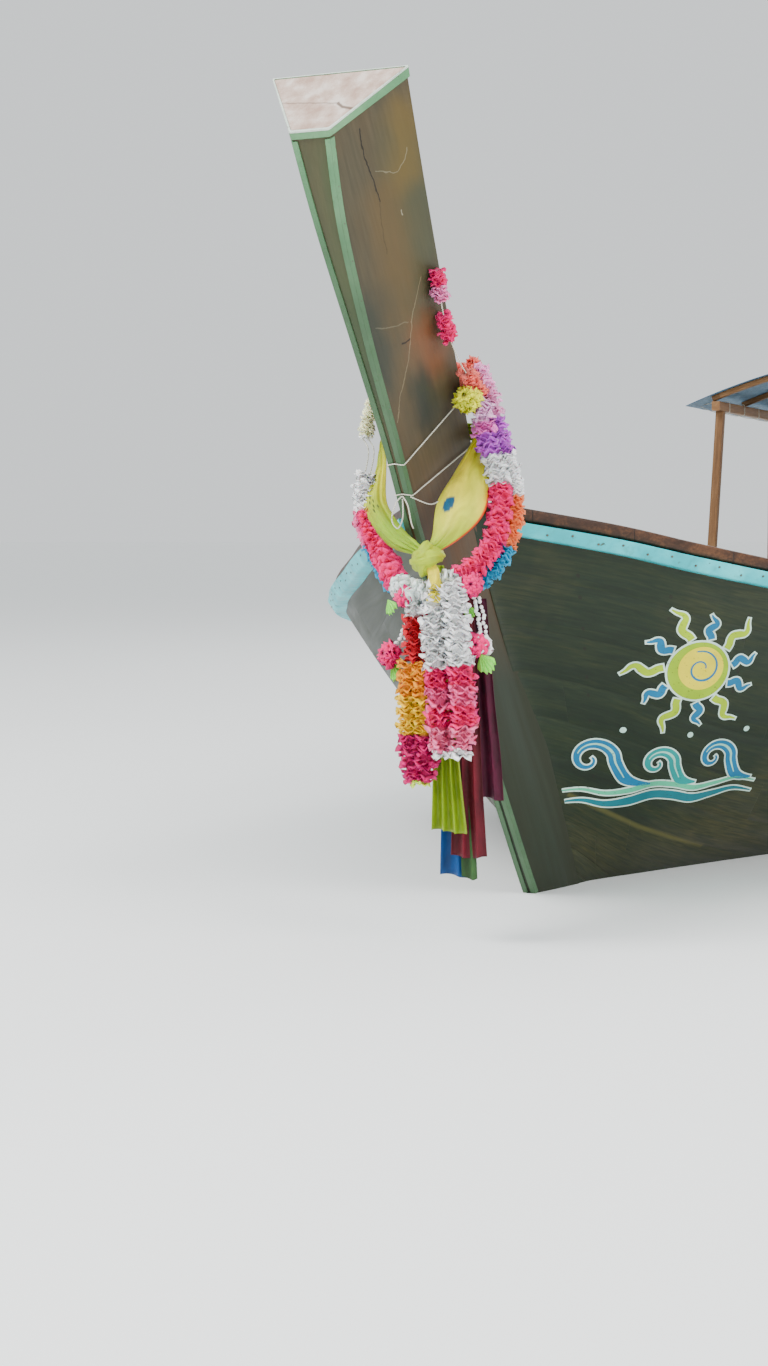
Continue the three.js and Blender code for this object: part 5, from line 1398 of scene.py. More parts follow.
cord_white, cord_shader, node = new_finish("twisted_cotton_string", {"Sheen Weight": 0.2})
cord_twist = node("TexWave", {"Vector": node("TexCoord").outputs["UV"], "Scale": 90.0, "Distortion": 1.0},
    bands_direction="DIAGONAL").outputs["Fac"]
cord_tone = node("ValToRGB", [cord_twist], stops=[(0.2, "#a9a795"), (0.7, "#dedccb")])
cord_bump = node("Bump", {"Height": cord_twist, "Distance": 0.4 * MM})
cord_rough = node("MapRange", {0: cord_twist, 3: 0.7, 4: 0.9})
feed(cord_shader, cord_tone, cord_rough, cord_bump)
upper_tie, lower_tie = [np.concatenate([on_prow(np.linspace(high, low, 6), np.linspace(1.0, 0.04, 6)),
    front_turn(turn_row), on_prow(back, [0.05, 0.5, 0.98], -1)]) for high, low, turn_row,
    back in ((3.1, 3.44, 3.46, [3.46, 3.3, 3.12]), (3.93, 3.99, 3.99, [3.97, 3.95, 3.93]))]
to_scarf = np.concatenate([front_turn(4.02)[:1], [[5.478, 0.058, 1.142], [5.489, 0.088, 1.148]]])
FRONT = np.array(front_turn(4.02)[1])
bow_loop = FRONT + np.array([[0, 0, 0], [12, -14, -20], [14, -24, -62], [12, -8, -84], [12, 6, -56],
    [4, 2, -8]]) * MM
bow_end = FRONT + np.array([[2, 2, -2], [16, 22, -26], [20, 34, -70], [16, 38, -84]]) * MM
garland_tie = from_stem([[758, -184, 1330], [772, -150, 1290], [770, -160, 1230], [772, -170, 1190]])
second_tie = garland_tie + np.array([0.004, -0.014, 0.0])
upper_string_path = from_stem(UPPER_PATH)
build("tying_strings", [string(path) for path in (upper_tie, lower_tie, to_scarf, bow_loop, bow_end,
    garland_tie, second_tie, upper_string_path)], [cord_white])

# %% [markdown]
# A painted design decorates the port bow: a sun with wavy rays above three rolling waves,
# brushed in blue, teal, lime and yellow with pale outlines. It is drawn flat, as ribbons
# and a disc in a plane (a aft, b up), and every point is then carried to the planks. Each
# layer of paint stands a little prouder than the one below it.

# %% Painted design on the bow
DESIGN_FORE = 4.585
DESIGN_LOW = 0.27
DESIGN_LEAN = 0.6
OUTLINE = 4.5 * MM
BASE_LIFT = 0.9 * MM
TOP_LIFT = 1.5 * MM


def on_bow(flat, lift):
    """Point of the port planks for (a, b): x = fore - a + lean b, z = low + b."""
    x = DESIGN_FORE - flat[..., 0] + DESIGN_LEAN * flat[..., 1]
    z = DESIGN_LOW + flat[..., 1]
    u, v = hull_at(x, z)
    u = np.clip(u, 1.0, LAST)
    v = np.clip(v, 0.0, 0.97)
    return hull(u, v) + hull_out(u, v) * lift


def stroke(path, widths, tone, lift, grow=0.0):
    """A brush stroke: the path plus and minus half its width across, which may taper."""
    path = through(path, 10)
    run = lengths(path)
    width = np.interp(run / run[-1], np.linspace(0, 1, len(widths)), widths)[:, None, None]
    ahead = unit(np.gradient(path, axis=0))
    path = np.concatenate([path[:1] - ahead[:1] * grow, path[1:-1], path[-1:] + ahead[-1:] * grow])
    side = np.stack([-ahead[:, 1], ahead[:, 0]], -1)[:, None]
    t = np.linspace(-1, 1, 5)[None, :, None]
    flat = path[:, None] + side * t * (width / 2 + grow)
    points = on_bow(flat, lift)
    return patch(points, uv=(run, np.linspace(0, 0.03, 5)), tint=hexes([tone])[0])


def spot_of_paint(centre, radius, tone, lift):
    """A disc: rings of radius r r0 round the centre."""
    angle = turns(40)[:, None]
    r = np.linspace(0.02, 1, 6)[None] * radius
    flat = np.stack([centre[0] + r * np.cos(angle), centre[1] + r * np.sin(angle)], -1)
    points = on_bow(flat, lift)
    return patch(points, wrap=(True, False), uv=(angle.ravel().tolist() + [2 * np.pi], r.ravel()),
        tint=hexes([tone])[0])


def outlined(path, widths, tone):
    """A pale stroke and the coloured one over it."""
    return [stroke(path, widths, "#cfeadb", BASE_LIFT, OUTLINE), stroke(path, widths, tone, TOP_LIFT)]


def wave_path(centre, radius):
    """A swell that climbs and curls over: radius r exp(-k turn) round the crest's centre."""
    turn = np.linspace(math.radians(-12), math.radians(400), 17)
    shrink = radius * np.exp(-0.26 * (turn - turn[0]))
    curl = np.asarray(centre) + shrink[:, None] * circle(turn)
    foot = np.asarray(centre) + np.array([[2.3, -1.12], [1.75, -1.05], [1.3, -0.8]]) * radius
    return np.concatenate([foot, curl])


def ray_path(turn, near, far):
    """A wavy ray: it leaves the sun squarely and swings aside as 1 - cos of the way along it."""
    r = np.linspace(near, far, 9)
    swing = turn + 0.07 * (1 - np.cos(np.linspace(0, 3 * np.pi, 9)))
    return SUN + r[:, None] * circle(swing)


SUN = np.array([0.40, 0.395])
strokes = []
for low, tone, width in ((-0.005, "#04707c", 0.026), (0.03, "#4bbd92", 0.016)):
    a = np.linspace(0.03, 0.66, 10)
    swell = np.stack([a, low + 0.012 * np.sin(a * 24)], -1)
    strokes += outlined(swell, [0.004, width, width, 0.004], tone)
for (a, b, radius), tone in zip([(0.12, 0.13, 0.078), (0.31, 0.105, 0.060), (0.49, 0.115, 0.066)],
        ["#03709c", "#05928e", "#03709c"]):
    strokes += outlined(wave_path((a, b), radius), [0.006, 0.034, 0.034, 0.026, 0.016, 0.005], tone)
    strokes.append(stroke(wave_path((a, b), radius)[2:10], [0.003, 0.008, 0.003], "#9fd8c4",
        TOP_LIFT + 0.5 * MM))
    strokes.append(spot_of_paint((a + 0.09, b + 0.09), 0.009, "#bfe6d6", TOP_LIFT))
for n in range(11):
    angle = 2 * math.pi * n / 11 + 0.15
    reach = 0.205 if n % 2 else 0.17
    strokes += outlined(ray_path(angle, 0.100, reach), [0.020, 0.020, 0.004], "#a4c406" if n % 2
        else "#03709c")
strokes += [spot_of_paint(SUN, 0.094, "#cfeadb", BASE_LIFT), spot_of_paint(SUN, 0.088, "#97bb04", TOP_LIFT),
    spot_of_paint(SUN + [0.006, 0.008], 0.066, "#ead81c", TOP_LIFT + 0.4 * MM)]
spiral = np.linspace(0, 2.6 * np.pi, 22)
strokes.append(stroke(SUN + [0.006, 0.008] + circle(spiral) * (0.012 + 0.0052 * spiral)[:, None],
    [0.004, 0.007, 0.004], "#03709c", TOP_LIFT + 0.8 * MM))
for shift in (0.0, 0.105):
    bend = np.array([[0.63, 0.40], [0.68, 0.43], [0.72, 0.39], [0.70, 0.34], [0.66, 0.35], [0.67, 0.375]])
    strokes.append(stroke(bend + [shift, -shift], [0.004, 0.012, 0.012, 0.004], "#a9dcc3", BASE_LIFT))

sign_paint, sign_shader, node = new_finish("brushed_sign_paint", {"Specular IOR Level": 0.25})
sign_place = node("TexCoord")
sign_dye = node("Attribute", attribute_name="tint")
sign_drawn = node("Mapping", {"Vector": sign_place.outputs["Object"], "Scale": (0.08, 1, 1)})
sign_fibre = node("TexNoise", (sign_drawn, 140.0, 4.0))
sign_cloud = node("TexNoise", (sign_place.outputs["Object"], 9.0, 3.0))
sign_shade = node("MapRange", (sign_cloud, 0.3, 0.7, 0.8, 1.08))
sign_tone = node("Mix", (1.0, sign_dye, sign_shade), "RGBA", blend_type="MULTIPLY")
sign_worn = node("MapRange", (sign_fibre, 0.63, 0.7, 0.0, 0.55))
sign_colour = node("Mix", (sign_worn, sign_tone, "#3c3c2b"), "RGBA")
sign_bump = node("Bump", {"Height": sign_fibre, "Distance": 0.5 * MM, "Strength": 0.5})
sign_gloss = node("MapRange", {0: sign_cloud, 3: 0.35, 4: 0.6})
feed(sign_shader, sign_colour, sign_gloss, sign_bump)
build("painted_bow_design", strokes, [sign_paint], closed=False)

# %% [markdown]
# The inner timbers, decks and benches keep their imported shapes. They get board finishes
# whose seams, fibres and shades are worked out from the place in metres, so that boards
# run the right way on each: lengthwise on the floor and decks, across on the benches.

# %% Inner timbers, decks and benches
BROWN = ["#4a3826", "#6b5238", "#8d7050"]
GREY = ["#4c5546", "#6a7562", "#8c957f"]
WORN = ["#5d4c38", "#7f6a4f", "#a18b6c"]


def finish_node(name, material):
    """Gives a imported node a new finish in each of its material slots."""
    slots = nodes[name].material_slots
    for place in slots:
        place.material = material
    print(f"{name}: {material.name}")


inner_woods = {
    "keel": timber("dark_keel_timber", ["#2a2b20", "#3b3a2a", "#554b36"], 0.3, 4.5, 110, along="XZY",
        edge=4 * MM, gap_dark=0.3),
    "transom": timber("varnished_transom_boards", OUTSIDE_TONES, 0.19, 3.0, 120, along="YZX", coat=0.15,
        seam=2.0 * MM, edge=4 * MM),
    "floors_and_keelson": timber("rough_sawn_inner_timber", BROWN, 0.4, 2.4, 110, along="XYZ",
        rough=(0.6, 0.85), edge=4 * MM),
    "floor_boards": timber("worn_floor_boards", WORN, 0.142, 2.2, 130, along="XYZ", seam=3.0 * MM,
        rough=(0.5, 0.8), edge=3 * MM),
    "fore_deck aft_deck": timber("oiled_deck_boards", BROWN, 0.12, 2.0, 130, along="XYZ", seam=2.4 * MM,
        rough=(0.45, 0.7), coat=0.1, edge=3 * MM),
    "fore_benches after_benches": timber("varnished_bench_boards", ["#5b3d22", "#805834", "#a5794b"], 0.14,
        2.6, 140, along="YXZ", seam=2.4 * MM, rough=(0.3, 0.55), coat=0.3, edge=4 * MM),
    "breast_beam": timber("weathered_grey_green_board", GREY, 0.2, 2.0, 140, along="YZX", rough=(0.6, 0.85),
        edge=3 * MM),
    "engine_bearer": timber("oil_stained_bearer_timber", ["#33281c", "#4c3b29", "#6b553b"], 0.25, 2.6, 120,
        along="YZX", rough=(0.45, 0.7), edge=5 * MM),
}
for node_names, (finish, _) in inner_woods.items():
    for node_name in node_names.split():
        finish_node(node_name, finish)

# %% [markdown]
# The canopy stands on six posts. Its frame is squared timber with planed edges, and the
# grain follows each stick. So every stick is a rounded section carried along its own line,
# and its UV map gives the finish its lengthwise direction.

# %% Canopy timbers
STICK_BOARD = 0.12
canopy_wood, _ = timber("oiled_canopy_timber", ["#5a3d24", "#7b5735", "#9c7750"], STICK_BOARD, 3.0, 150,
    seam=0.1 * MM, rough=(0.4, 0.65), coat=0.15)


def stick(path, side, wide, deep, start=0.0):
    """A rounded rectangle, wide along side and deep across it, carried along a path."""
    path = floats(path)
    ahead = unit(np.gradient(path, axis=0))
    side = np.broadcast_to(floats(side), path.shape)
    side = unit(side - ahead * (side * ahead).sum(-1, keepdims=True))
    up = np.cross(ahead, side)
    corners = np.array([[-1, -1], [1, -1], [1, 1], [-1, 1]]) / 2
    ring = rounded(sweep(path, corners * [wide, deep], side, up), 4 * MM, steps=4)
    return tube(ring, uv=(lengths(path) + start, round_way(ring[0]) / STICK_BOARD + math.floor(start * 7)))


CANOPY_FORE, CANOPY_AFT = -0.95, -3.35
CANOPY_SIDE = 1.085
SIDE_RAIL_Z = 1.775
POST_TOP = 1.770
POST_WIDE = 0.044
POST_SPOTS = np.array([-1.05, -2.15, -3.25])
BOW_SPOTS = np.array([-0.975, -1.565, -2.15, -2.735, -3.325])
BOW_REACH = 1.1072
CROWN_RISE = 0.21
BOW_FOOT = 1.8003


def crown(y):
    """Height of the bows' lower face: foot + rise (1 - (y / reach) squared)."""
    return BOW_FOOT + CROWN_RISE * (1 - (y / BOW_REACH) ** 2)


for side, mirror in SIDES.items():
    sticks = [stick(np.array([[x, CANOPY_SIDE, SIDE_RAIL_Z] for x in (CANOPY_FORE, -2.15, CANOPY_AFT)])
        * mirror, [0, 1, 0], POST_WIDE, 0.05)]
    for n, (x, y, z) in enumerate(zip(POST_SPOTS, sheer_at(POST_SPOTS, 1), sheer_at(POST_SPOTS, 2))):
        foot = np.array([x, y - 35 * MM + (CANOPY_SIDE - y + 35 * MM) * 17 / 1100, z + 37 * MM])
        head = np.array([x, CANOPY_SIDE, POST_TOP])
        sticks.append(stick(np.stack([foot, (foot + head) / 2, head]) * mirror, [1, 0, 0], POST_WIDE,
            POST_WIDE, start=0.9 * n + 1))
    frame_wood = build(f"{side}_canopy_posts_and_rail", sticks, [canopy_wood], sharp=50)
    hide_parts(f"{side}_canopy_frame")
bow_y = np.linspace(-BOW_REACH, BOW_REACH, 25)
bow_sticks = [stick(np.stack([np.full(25, x), bow_y, crown(bow_y) + 14 * MM], -1), [1, 0, 0], 0.04, 0.028,
    start=0.7 * n + 0.3) for n, x in enumerate(BOW_SPOTS)]
bow_sticks += [stick([[x, y, crown(y) - 4 * MM] for x in (-3.34, -2.15, -0.96)], [0, 1, 0], 0.044, 0.036,
    start=0.5 + y) for y in (-0.54, 0.0, 0.54)]
bows = build("canopy_bows_and_battens", bow_sticks, [canopy_wood], sharp=50)
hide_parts("canopy_bows")

# %% [markdown]
# The cover is one cloth, stretched over the bows and hemmed all round. It sags a little
# between them, and its edges hang straight from the side rails. A thin cord laces the hem
# to each rail through eyelets.

# %% Canopy cloth
COVER_RISE = 30 * MM
COVER_REACH = 1.243
COVER_FORE, COVER_AFT = -0.912, -3.388
SAG = 9 * MM
HALF_BAY = 0.29
HEM_WIDE = 0.034
END_HEM = 0.03
cover_x = np.linspace(COVER_FORE, COVER_AFT, 121)[:, None]
cover_y = np.linspace(-COVER_REACH, COVER_REACH, 97)[None]
from_bow = np.abs(cover_x[..., None] - BOW_SPOTS).min(-1)
sag_along = np.clip(from_bow / HALF_BAY, 0, 1) ** 1.3
ripple = 1.6 * MM * np.sin(cover_y * 37 + 3 * np.sin(cover_x * 5)) * (np.abs(cover_y) / COVER_REACH) ** 3
in_reach = np.clip(1.15 - np.abs(cover_y) / BOW_REACH, 0.0, 0.6) / 0.6
cover_z = crown(cover_y) + COVER_RISE - SAG * sag_along * in_reach + ripple * sag_along
cover_grid = np.stack(np.broadcast_arrays(cover_x, cover_y, cover_z), -1)
in_hem = (np.abs(cover_y) > COVER_REACH - HEM_WIDE) | (cover_x > COVER_FORE - END_HEM) | (cover_x < COVER_AFT
    + END_HEM)
hem_blue, cover_blue = hexes(["#4d7da0", "#5b90b4"])
cover_tint = np.where(in_hem[..., None], hem_blue, cover_blue)
awning = woven("waxed_blue_awning_cloth", ["#b9c2c8", "#ffffff"], (0.55, 0.75), 0.15, thread=2.0 * MM,
    soft=0.0)
cover_cloth = build("canopy_cloth_sheet", [cloth(cover_grid, tint=cover_tint)], [awning])
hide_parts("canopy_cover")

# %% [markdown]
# The engine is an old four-cylinder lorry diesel, painted grey-green and oily. It is
# balanced on a swivel with its long tail, so everything on it was drawn level about the
# tilt axis and then tipped by 22 degrees. Turned parts are profiles spun round their axis,
# pipes are circles carried along a line, and castings are blocks with rounded edges.

# %% Engine shapes
PIVOT = np.array([-4.9, 0, 1.32])
TIP = math.radians(22)


def tipped(points):
    """Points about the tilt axis (mm) to their place: (x cos - z sin, y, x sin + z cos)."""
    points = floats(points) * MM
    x, z = points[..., 0], points[..., 2]
    return np.stack([x * math.cos(TIP) - z * math.sin(TIP), points[..., 1], x * math.sin(TIP)
        + z * math.cos(TIP)], -1) + PIVOT


def placed(points):
    """Millimetres to metres, for parts that stand level."""
    return floats(points) * MM


AHEAD, ASTERN, TO_PORT, TO_STARBOARD, UP, DOWN = np.array([(1, 0, 0), (-1, 0, 0), (0, 1, 0), (0, -1, 0),
    (0, 0, 1), (0, 0, -1)])


def lathe(start, way, profile, sectors=40, kind=0, carry=tipped, flutes=0, flute_deep=0.0):
    """A turned part: (distance from start, radius) pairs spun round a line from start.

    Radius r (1 + deep cos(flutes a)) gives knurled or finned rims where flutes is set.
    """
    way = unit(floats(way))
    helper = np.array([0, 0, 1.0]) if abs(way[2]) < 0.9 else np.array([1.0, 0, 0])
    side = unit(np.cross(way, helper))
    up = np.cross(side, way)
    profile = floats(profile)
    angle = turns(sectors)
    rim = 1 + flute_deep * np.cos(flutes * angle)
    around = np.cos(angle)[:, None] * side + np.sin(angle)[:, None] * up
    points = (start + profile[:, :1, None] * way + (profile[:, 1:, None] * rim[None, :, None]) * around[None])
    run = lengths(np.c_[profile, np.zeros(len(profile))])
    return tube(carry(points), kind=kind, uv=(run * MM, np.linspace(0, 2 * np.pi * profile[:, 1].max() * MM,
        sectors + 1)))


def pipe(path, radius, kind=0, sectors=14, steps=6, carry=tipped):
    """A round pipe or hose along a smooth curve through the path's points (mm)."""
    path = through(floats(path), steps)
    return tube(carry(rings_along(path, radius, sectors)), kind=kind, uv=(lengths(path) * MM,
        np.linspace(0, 2 * np.pi * radius * MM, sectors + 1)))


def block(low, high, radius=6.0, kind=0, carry=tipped):
    """A casting: a box whose edges are all rounded, as sections that shrink at both ends."""
    low, high = floats(low), floats(high)
    radius = min(radius, (high - low).min() / 2 - 0.5)
    turn = np.linspace(0, np.pi / 2, 4)
    inset = np.concatenate([radius * (1 - np.sin(turn)), (radius * (1 - np.sin(turn)))[::-1]])
    along = np.concatenate([low[0] + radius * (1 - np.cos(turn)),
        (high[0] - radius * (1 - np.cos(turn)))[::-1]])
    angle = turns(24) + np.pi / 24
    corner = np.sign(circle(angle))
    half = (high[1:] - low[1:]) / 2
    middle = (high[1:] + low[1:]) / 2
    quarter = (angle - np.pi / 24) % (np.pi / 2)
    swing = np.floor((angle - np.pi / 24) / (np.pi / 2)) * np.pi / 2 + quarter / (np.pi / 2 * 5
        / 6) * np.pi / 2
    arc = circle(swing)
    flat = middle + corner * (half - radius) + arc * radius
    section = flat[None] - (flat - middle)[None] * (inset[:, None, None] / np.maximum(np.abs(flat
        - middle).max(-1), 1e-6)[None, :, None])
    points = np.concatenate([np.broadcast_to(along[:, None, None], (*section.shape[:2], 1)), section], -1)
    run = lengths(np.c_[along, inset, inset * 0])
    return tube(carry(points), kind=kind, uv=(run * MM, np.linspace(0, (half.sum() * 4) * MM, 25)))


def plate(outline, near, far):
    """A flat plate: an outline of (x, z) points between two sideways places y."""
    outline = floats(outline)
    rings = [np.stack([outline[:, 0], np.full(len(outline), y), outline[:, 1]], -1) for y in (near, far)]
    return tube(tipped(np.stack(rings)), uv=([0, 0.01], round_way(outline) * MM))


def bolts(places, way, radius, height, kind=1, carry=tipped):
    """Six-sided bolt heads on round washers, all facing one way."""
    washer = [(0.0, radius * 1.5), (2.5, radius * 1.5), (2.8, radius * 1.42)]
    hexagon = [(1.5, radius), (height + 1.5, radius), (height + 2.5, radius * 0.85)]
    made = []
    for place in floats(places):
        made += [lathe(place - way, way, shape, sectors, kind, carry) for shape, sectors in ((washer, 12),
            (hexagon, 6))]
    return made


# %% [markdown]
# Its metals are few: painted castings, bare cast alloy, rust, black enamel, oily bright
# steel and a bronze screw. Each shows its base colour broken by cloudy dirt, chips along
# the edges that the Bevel node finds, and small dents or casting grain in its relief.

# %% Metal and rubber finishes
def metal(name, colours, metallic, rough, edge_tone=None, grain=300.0, relief=0.6 * MM, dirt="#1d1a15",
        dirty=0.5, streak=None):
    """Worn metal or enamel: clouded colour, oily dirt in patches, worn edges, fine grain."""
    material, shader, node = new_finish(name, {"Metallic": metallic})
    place = node("TexCoord").outputs["Object"]
    if streak:
        place = node("Mapping", {"Vector": place, "Rotation": (0, TIP, 0), "Scale": streak})
    cloud = node("TexNoise", (place, 9.0, 5.0, 0.6))
    fine = node("TexNoise", (place, grain, 3.0))
    spots = node("TexNoise", (place, 42.0, 5.0, 0.7))
    tone = node("ValToRGB", [cloud], stops=colours)
    grimy = node("MapRange", (cloud, 0.52, 0.35, 0.0, dirty))
    colour = node("Mix", (grimy, tone, dirt), "RGBA")
    round_edge, turn = edges(node, 2.0 * MM)
    if edge_tone:
        near_edge = node("MapRange", (turn, 1.0, 0.75, 0.0, 0.2))
        worn_sum = node("Math", (spots, near_edge), "ADD")
        worn = node("MapRange", (worn_sum, 0.62, 0.66, 0.0, 0.85))
        colour = node("Mix", (worn, colour, edge_tone), "RGBA")
    bump = node("Bump", {"Height": fine, "Normal": round_edge, "Distance": relief, "Strength": 0.5})
    gloss = node("MapRange", (spots, 0.3, 0.7, rough[0], rough[1]))
    feed(shader, colour, gloss, bump)
    return material


engine_enamel = metal("oily_engine_enamel", ["#2f4a3c", "#4a6a57"], 0.0, (0.35, 0.6), "#7b776c", dirty=0.7)
cast_alloy = metal("sand_cast_alloy", ["#7f8380", "#b0b2ad"], 0.85, (0.45, 0.7), "#c4c5c0", grain=420.0)
rust = metal("rusty_exhaust_steel", ["#3d2319", "#6b3b24", "#8c5b3a"], 0.35, (0.75, 0.95), grain=260.0,
    relief=0.9 * MM)
black_enamel = metal("black_enamelled_steel", ["#16181a", "#26292b"], 0.0, (0.35, 0.6), "#6c6c68")
frame_paint = metal("grey_painted_frame_steel", ["#3d464a", "#596368"], 0.0, (0.4, 0.65), "#6e4a33",
    dirty=0.4)
tail_paint = metal("galvanised_tail_tube", ["#5f686b", "#8b9396"], 0.7, (0.4, 0.65), "#a5a8a6", dirty=0.35,
    streak=(0.2, 1, 1))
oily_steel = metal("oily_bright_steel", ["#6f7069", "#a8a8a0"], 0.95, (0.25, 0.5), grain=500.0)
bronze = metal("cast_bronze_screw", ["#7a5a2c", "#b58d4a"], 0.95, (0.25, 0.5), "#d9b36a", grain=350.0,
    dirty=0.35)
rubber = metal("dusty_black_rubber", ["#17181a", "#2b2c2d"], 0.0, (0.6, 0.85), grain=600.0, dirt="#3a362e",
    dirty=0.3)
red_tank = metal("red_moulded_fuel_can", ["#9c1f16", "#c23525"], 0.0, (0.35, 0.55), "#c9604c", grain=700.0,
    relief=0.3 * MM, dirty=0.2)
black_plastic = metal("black_moulded_plastic", ["#191b1d", "#2a2d30"], 0.0, (0.4, 0.6), grain=800.0,
    relief=0.3 * MM, dirty=0.2)
copper_pipe = metal("brazed_fuel_pipe", ["#7c7d78", "#a3a49c"], 0.9, (0.3, 0.5), grain=500.0)
for node_name, finish in {"swivel_socket": frame_paint, "swivel_fork": frame_paint,
        "tilt_cradle": frame_paint, "engine_block": engine_enamel}.items():
    finish_node(node_name, finish)

# %% [markdown]
# The engine's upper half: a head with its valve cover, oil filler and studs, a rusty
# manifold with its upright pipe to port, and the intake trunk with an oil-bath air
# cleaner to starboard. Injector pipes run across from the pump.

# %% Cylinder head
CYLINDERS = [-215, -75, 65, 205]
parts = [block((-290, -120, 301), (270, 120, 395), 7), block((-270, -95, 394), (250, 60, 456), 16, kind=2)]
parts += [block((x - 3, -97, 396), (x + 3, 62, 459.5), 2.5, kind=2) for x in (-200, -110, -20, 70, 160)]
parts += [lathe((205, -20, 448), UP, [(0, 30), (10, 30), (11, 25), (30, 25), (33, 21)], 40, 2, flutes=10,
    flute_deep=0.04)]
parts += bolts([(x, y, 395) for x in (-255, -145, -5, 135, 245) for y in (80, -109)], UP, 7.5, 7)
parts += bolts([(x, -17, 456) for x in (-235, -10, 110)], UP, 8, 8)
for x in CYLINDERS:
    parts += [lathe((x, 92, 394), UP, [(0, 11), (18, 11), (19, 8), (44, 8), (46, 5), (60, 5)], 16, 1)]
for n, x in enumerate(CYLINDERS):
    parts += [pipe([(x, 92, 450), (x + 4, 96, 470), (x + 20, 108, 468), (x + 24, 128, 430 - 3 * n),
        (x + 14, 132, 402 - 3 * n)], 3.2, kind=3, sectors=8)]
head = build("cylinder_head_castings", parts, [engine_enamel, oily_steel, cast_alloy, copper_pipe],
    body="engine", sharp=40)
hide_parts("cylinder_head")

# %% Block fittings
parts = [lathe((x, 148, z), TO_PORT, [(0, 24), (4, 24), (4.5, 20), (1.5, 4)], 24) for x in (-150, 0, 150)
    for z in (100, 210)]
parts += [block((-292, -152, 294), (272, 152, 300.4), 2.5, kind=3)]
parts += [block((x - 4, -153, -20), (x + 4, 153, 292), 3) for x in (-292, -146, -6, 134, 272)]
parts += [block((-200, 148, 0), (20, 196, 62), 10)]
parts += [lathe((x, 172, 60), UP, [(0, 12), (12, 12), (13, 9), (24, 9)], 6, 1) for x in (-175, -125, -75,
    -25)]
parts += [lathe((110, -160, 120), DOWN, [(0, 18), (2, 40), (8, 43), (100, 43), (108, 36), (110, 12)], 32, 2)]
parts += [lathe((-215, 140, 250), TO_PORT, [(0, 16), (16, 16), (17, 9), (30, 9)], 6, 1)]
parts += [pipe([(-60, -150, 120), (-60, -168, 140), (-62, -172, 200), (-62, -172, 270)], 5, kind=1,
    sectors=10)]
parts += [lathe((-62, -172, 262), UP, [(0, 7), (10, 7), (12, 11), (24, 11)], 16, 3)]
parts += bolts([(x, y, -22) for x in (-230, 210) for y in (-195, 195)], UP, 9, 8)
parts += bolts([(x, y, -64) for x in (-260, -160, -60, 40, 140, 190) for y in (112, -112)], UP, 5, 4)
parts += [lathe((0, 108, -180), TO_PORT, [(0, 14), (6, 14), (7, 11), (14, 11)], 6, 1)]
build("engine_block_fittings", parts, [engine_enamel, oily_steel, red_tank, black_enamel], body="engine",
    sharp=40)

# %% Exhaust
parts = [block((-250, 175, 325), (230, 240, 385), 24)]
parts += [block((x - 22, 121.5, 335), (x + 22, 182, 375), 12) for x in CYLINDERS]
parts += [block((x - 34, 121.5, 328), (x + 34, 130, 382), 3) for x in CYLINDERS]
parts += bolts([(x + s * 27, 130, 355 + s * 16) for x in CYLINDERS for s in (-1, 1)], TO_PORT, 6, 6)
parts += [pipe([(120, 205, 355), (92, 208, 396), (60, 210, 430), (42, 212, 500), (40, 212, 600),
    (40, 212, 760), (40, 212, 890), (28, 212, 932), (2, 212, 944)], 33, sectors=28)]
parts += [lathe((40, 212, 552), UP, [(0, 34), (8, 46), (14, 54.5), (30, 54.5), (34, 51), (256, 51),
    (260, 54.5), (276, 54.5), (284, 46), (296, 34)], 40)]
parts += [lathe((52, 211, 436), (-5, 1, 24), [(0, 36), (1, 46), (9, 46), (10, 42), (11, 46), (19, 46),
    (20, 36)], 32)]
exhaust = build("rusty_exhaust", parts, [rust, oily_steel], body="engine", sharp=40)
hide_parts("exhaust_pipe")

# %% Air intake
parts = [block((-250, -235, 325), (230, -180, 380), 20, kind=2)]
parts += [block((x - 24, -182, 332), (x + 24, -121.5, 374), 12, kind=2) for x in CYLINDERS]
parts += bolts([(x + s * 18, -236, 352 + s * 12) for x in (-145, -5, 135) for s in (-1, 1)], TO_STARBOARD, 5,
    5)
parts += [pipe([(-150, -208, 375), (-150, -208, 410), (-146, -208, 446), (-128, -208, 472),
    (-105, -208, 482)], 29, kind=3, sectors=24)]
parts += [lathe((-150, -208, z), UP, [(0, 30), (1, 32.5), (11, 32.5), (12, 30)], 28, 1) for z in (382, 424)]
parts += [lathe((-112, -208, 480), AHEAD, [(0, 40), (2, 68), (8, 74), (40, 74), (42, 70), (46, 70), (48, 74),
    (88, 74), (90, 71), (94, 71), (96, 74), (150, 74), (154, 66), (158, 66), (160, 74.5), (186, 74.5),
    (194, 66), (198, 40), (199, 14), (204, 12)], 44)]
parts += [lathe((s, -208, 480), AHEAD, [(0, 74), (1, 76), (13, 76), (14, 74)], 44, 1) for s in (-84, 20)]
intake = build("air_intake_and_cleaner", parts, [black_enamel, oily_steel, cast_alloy, rubber], body="engine",
    sharp=40)
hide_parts("air_intake")

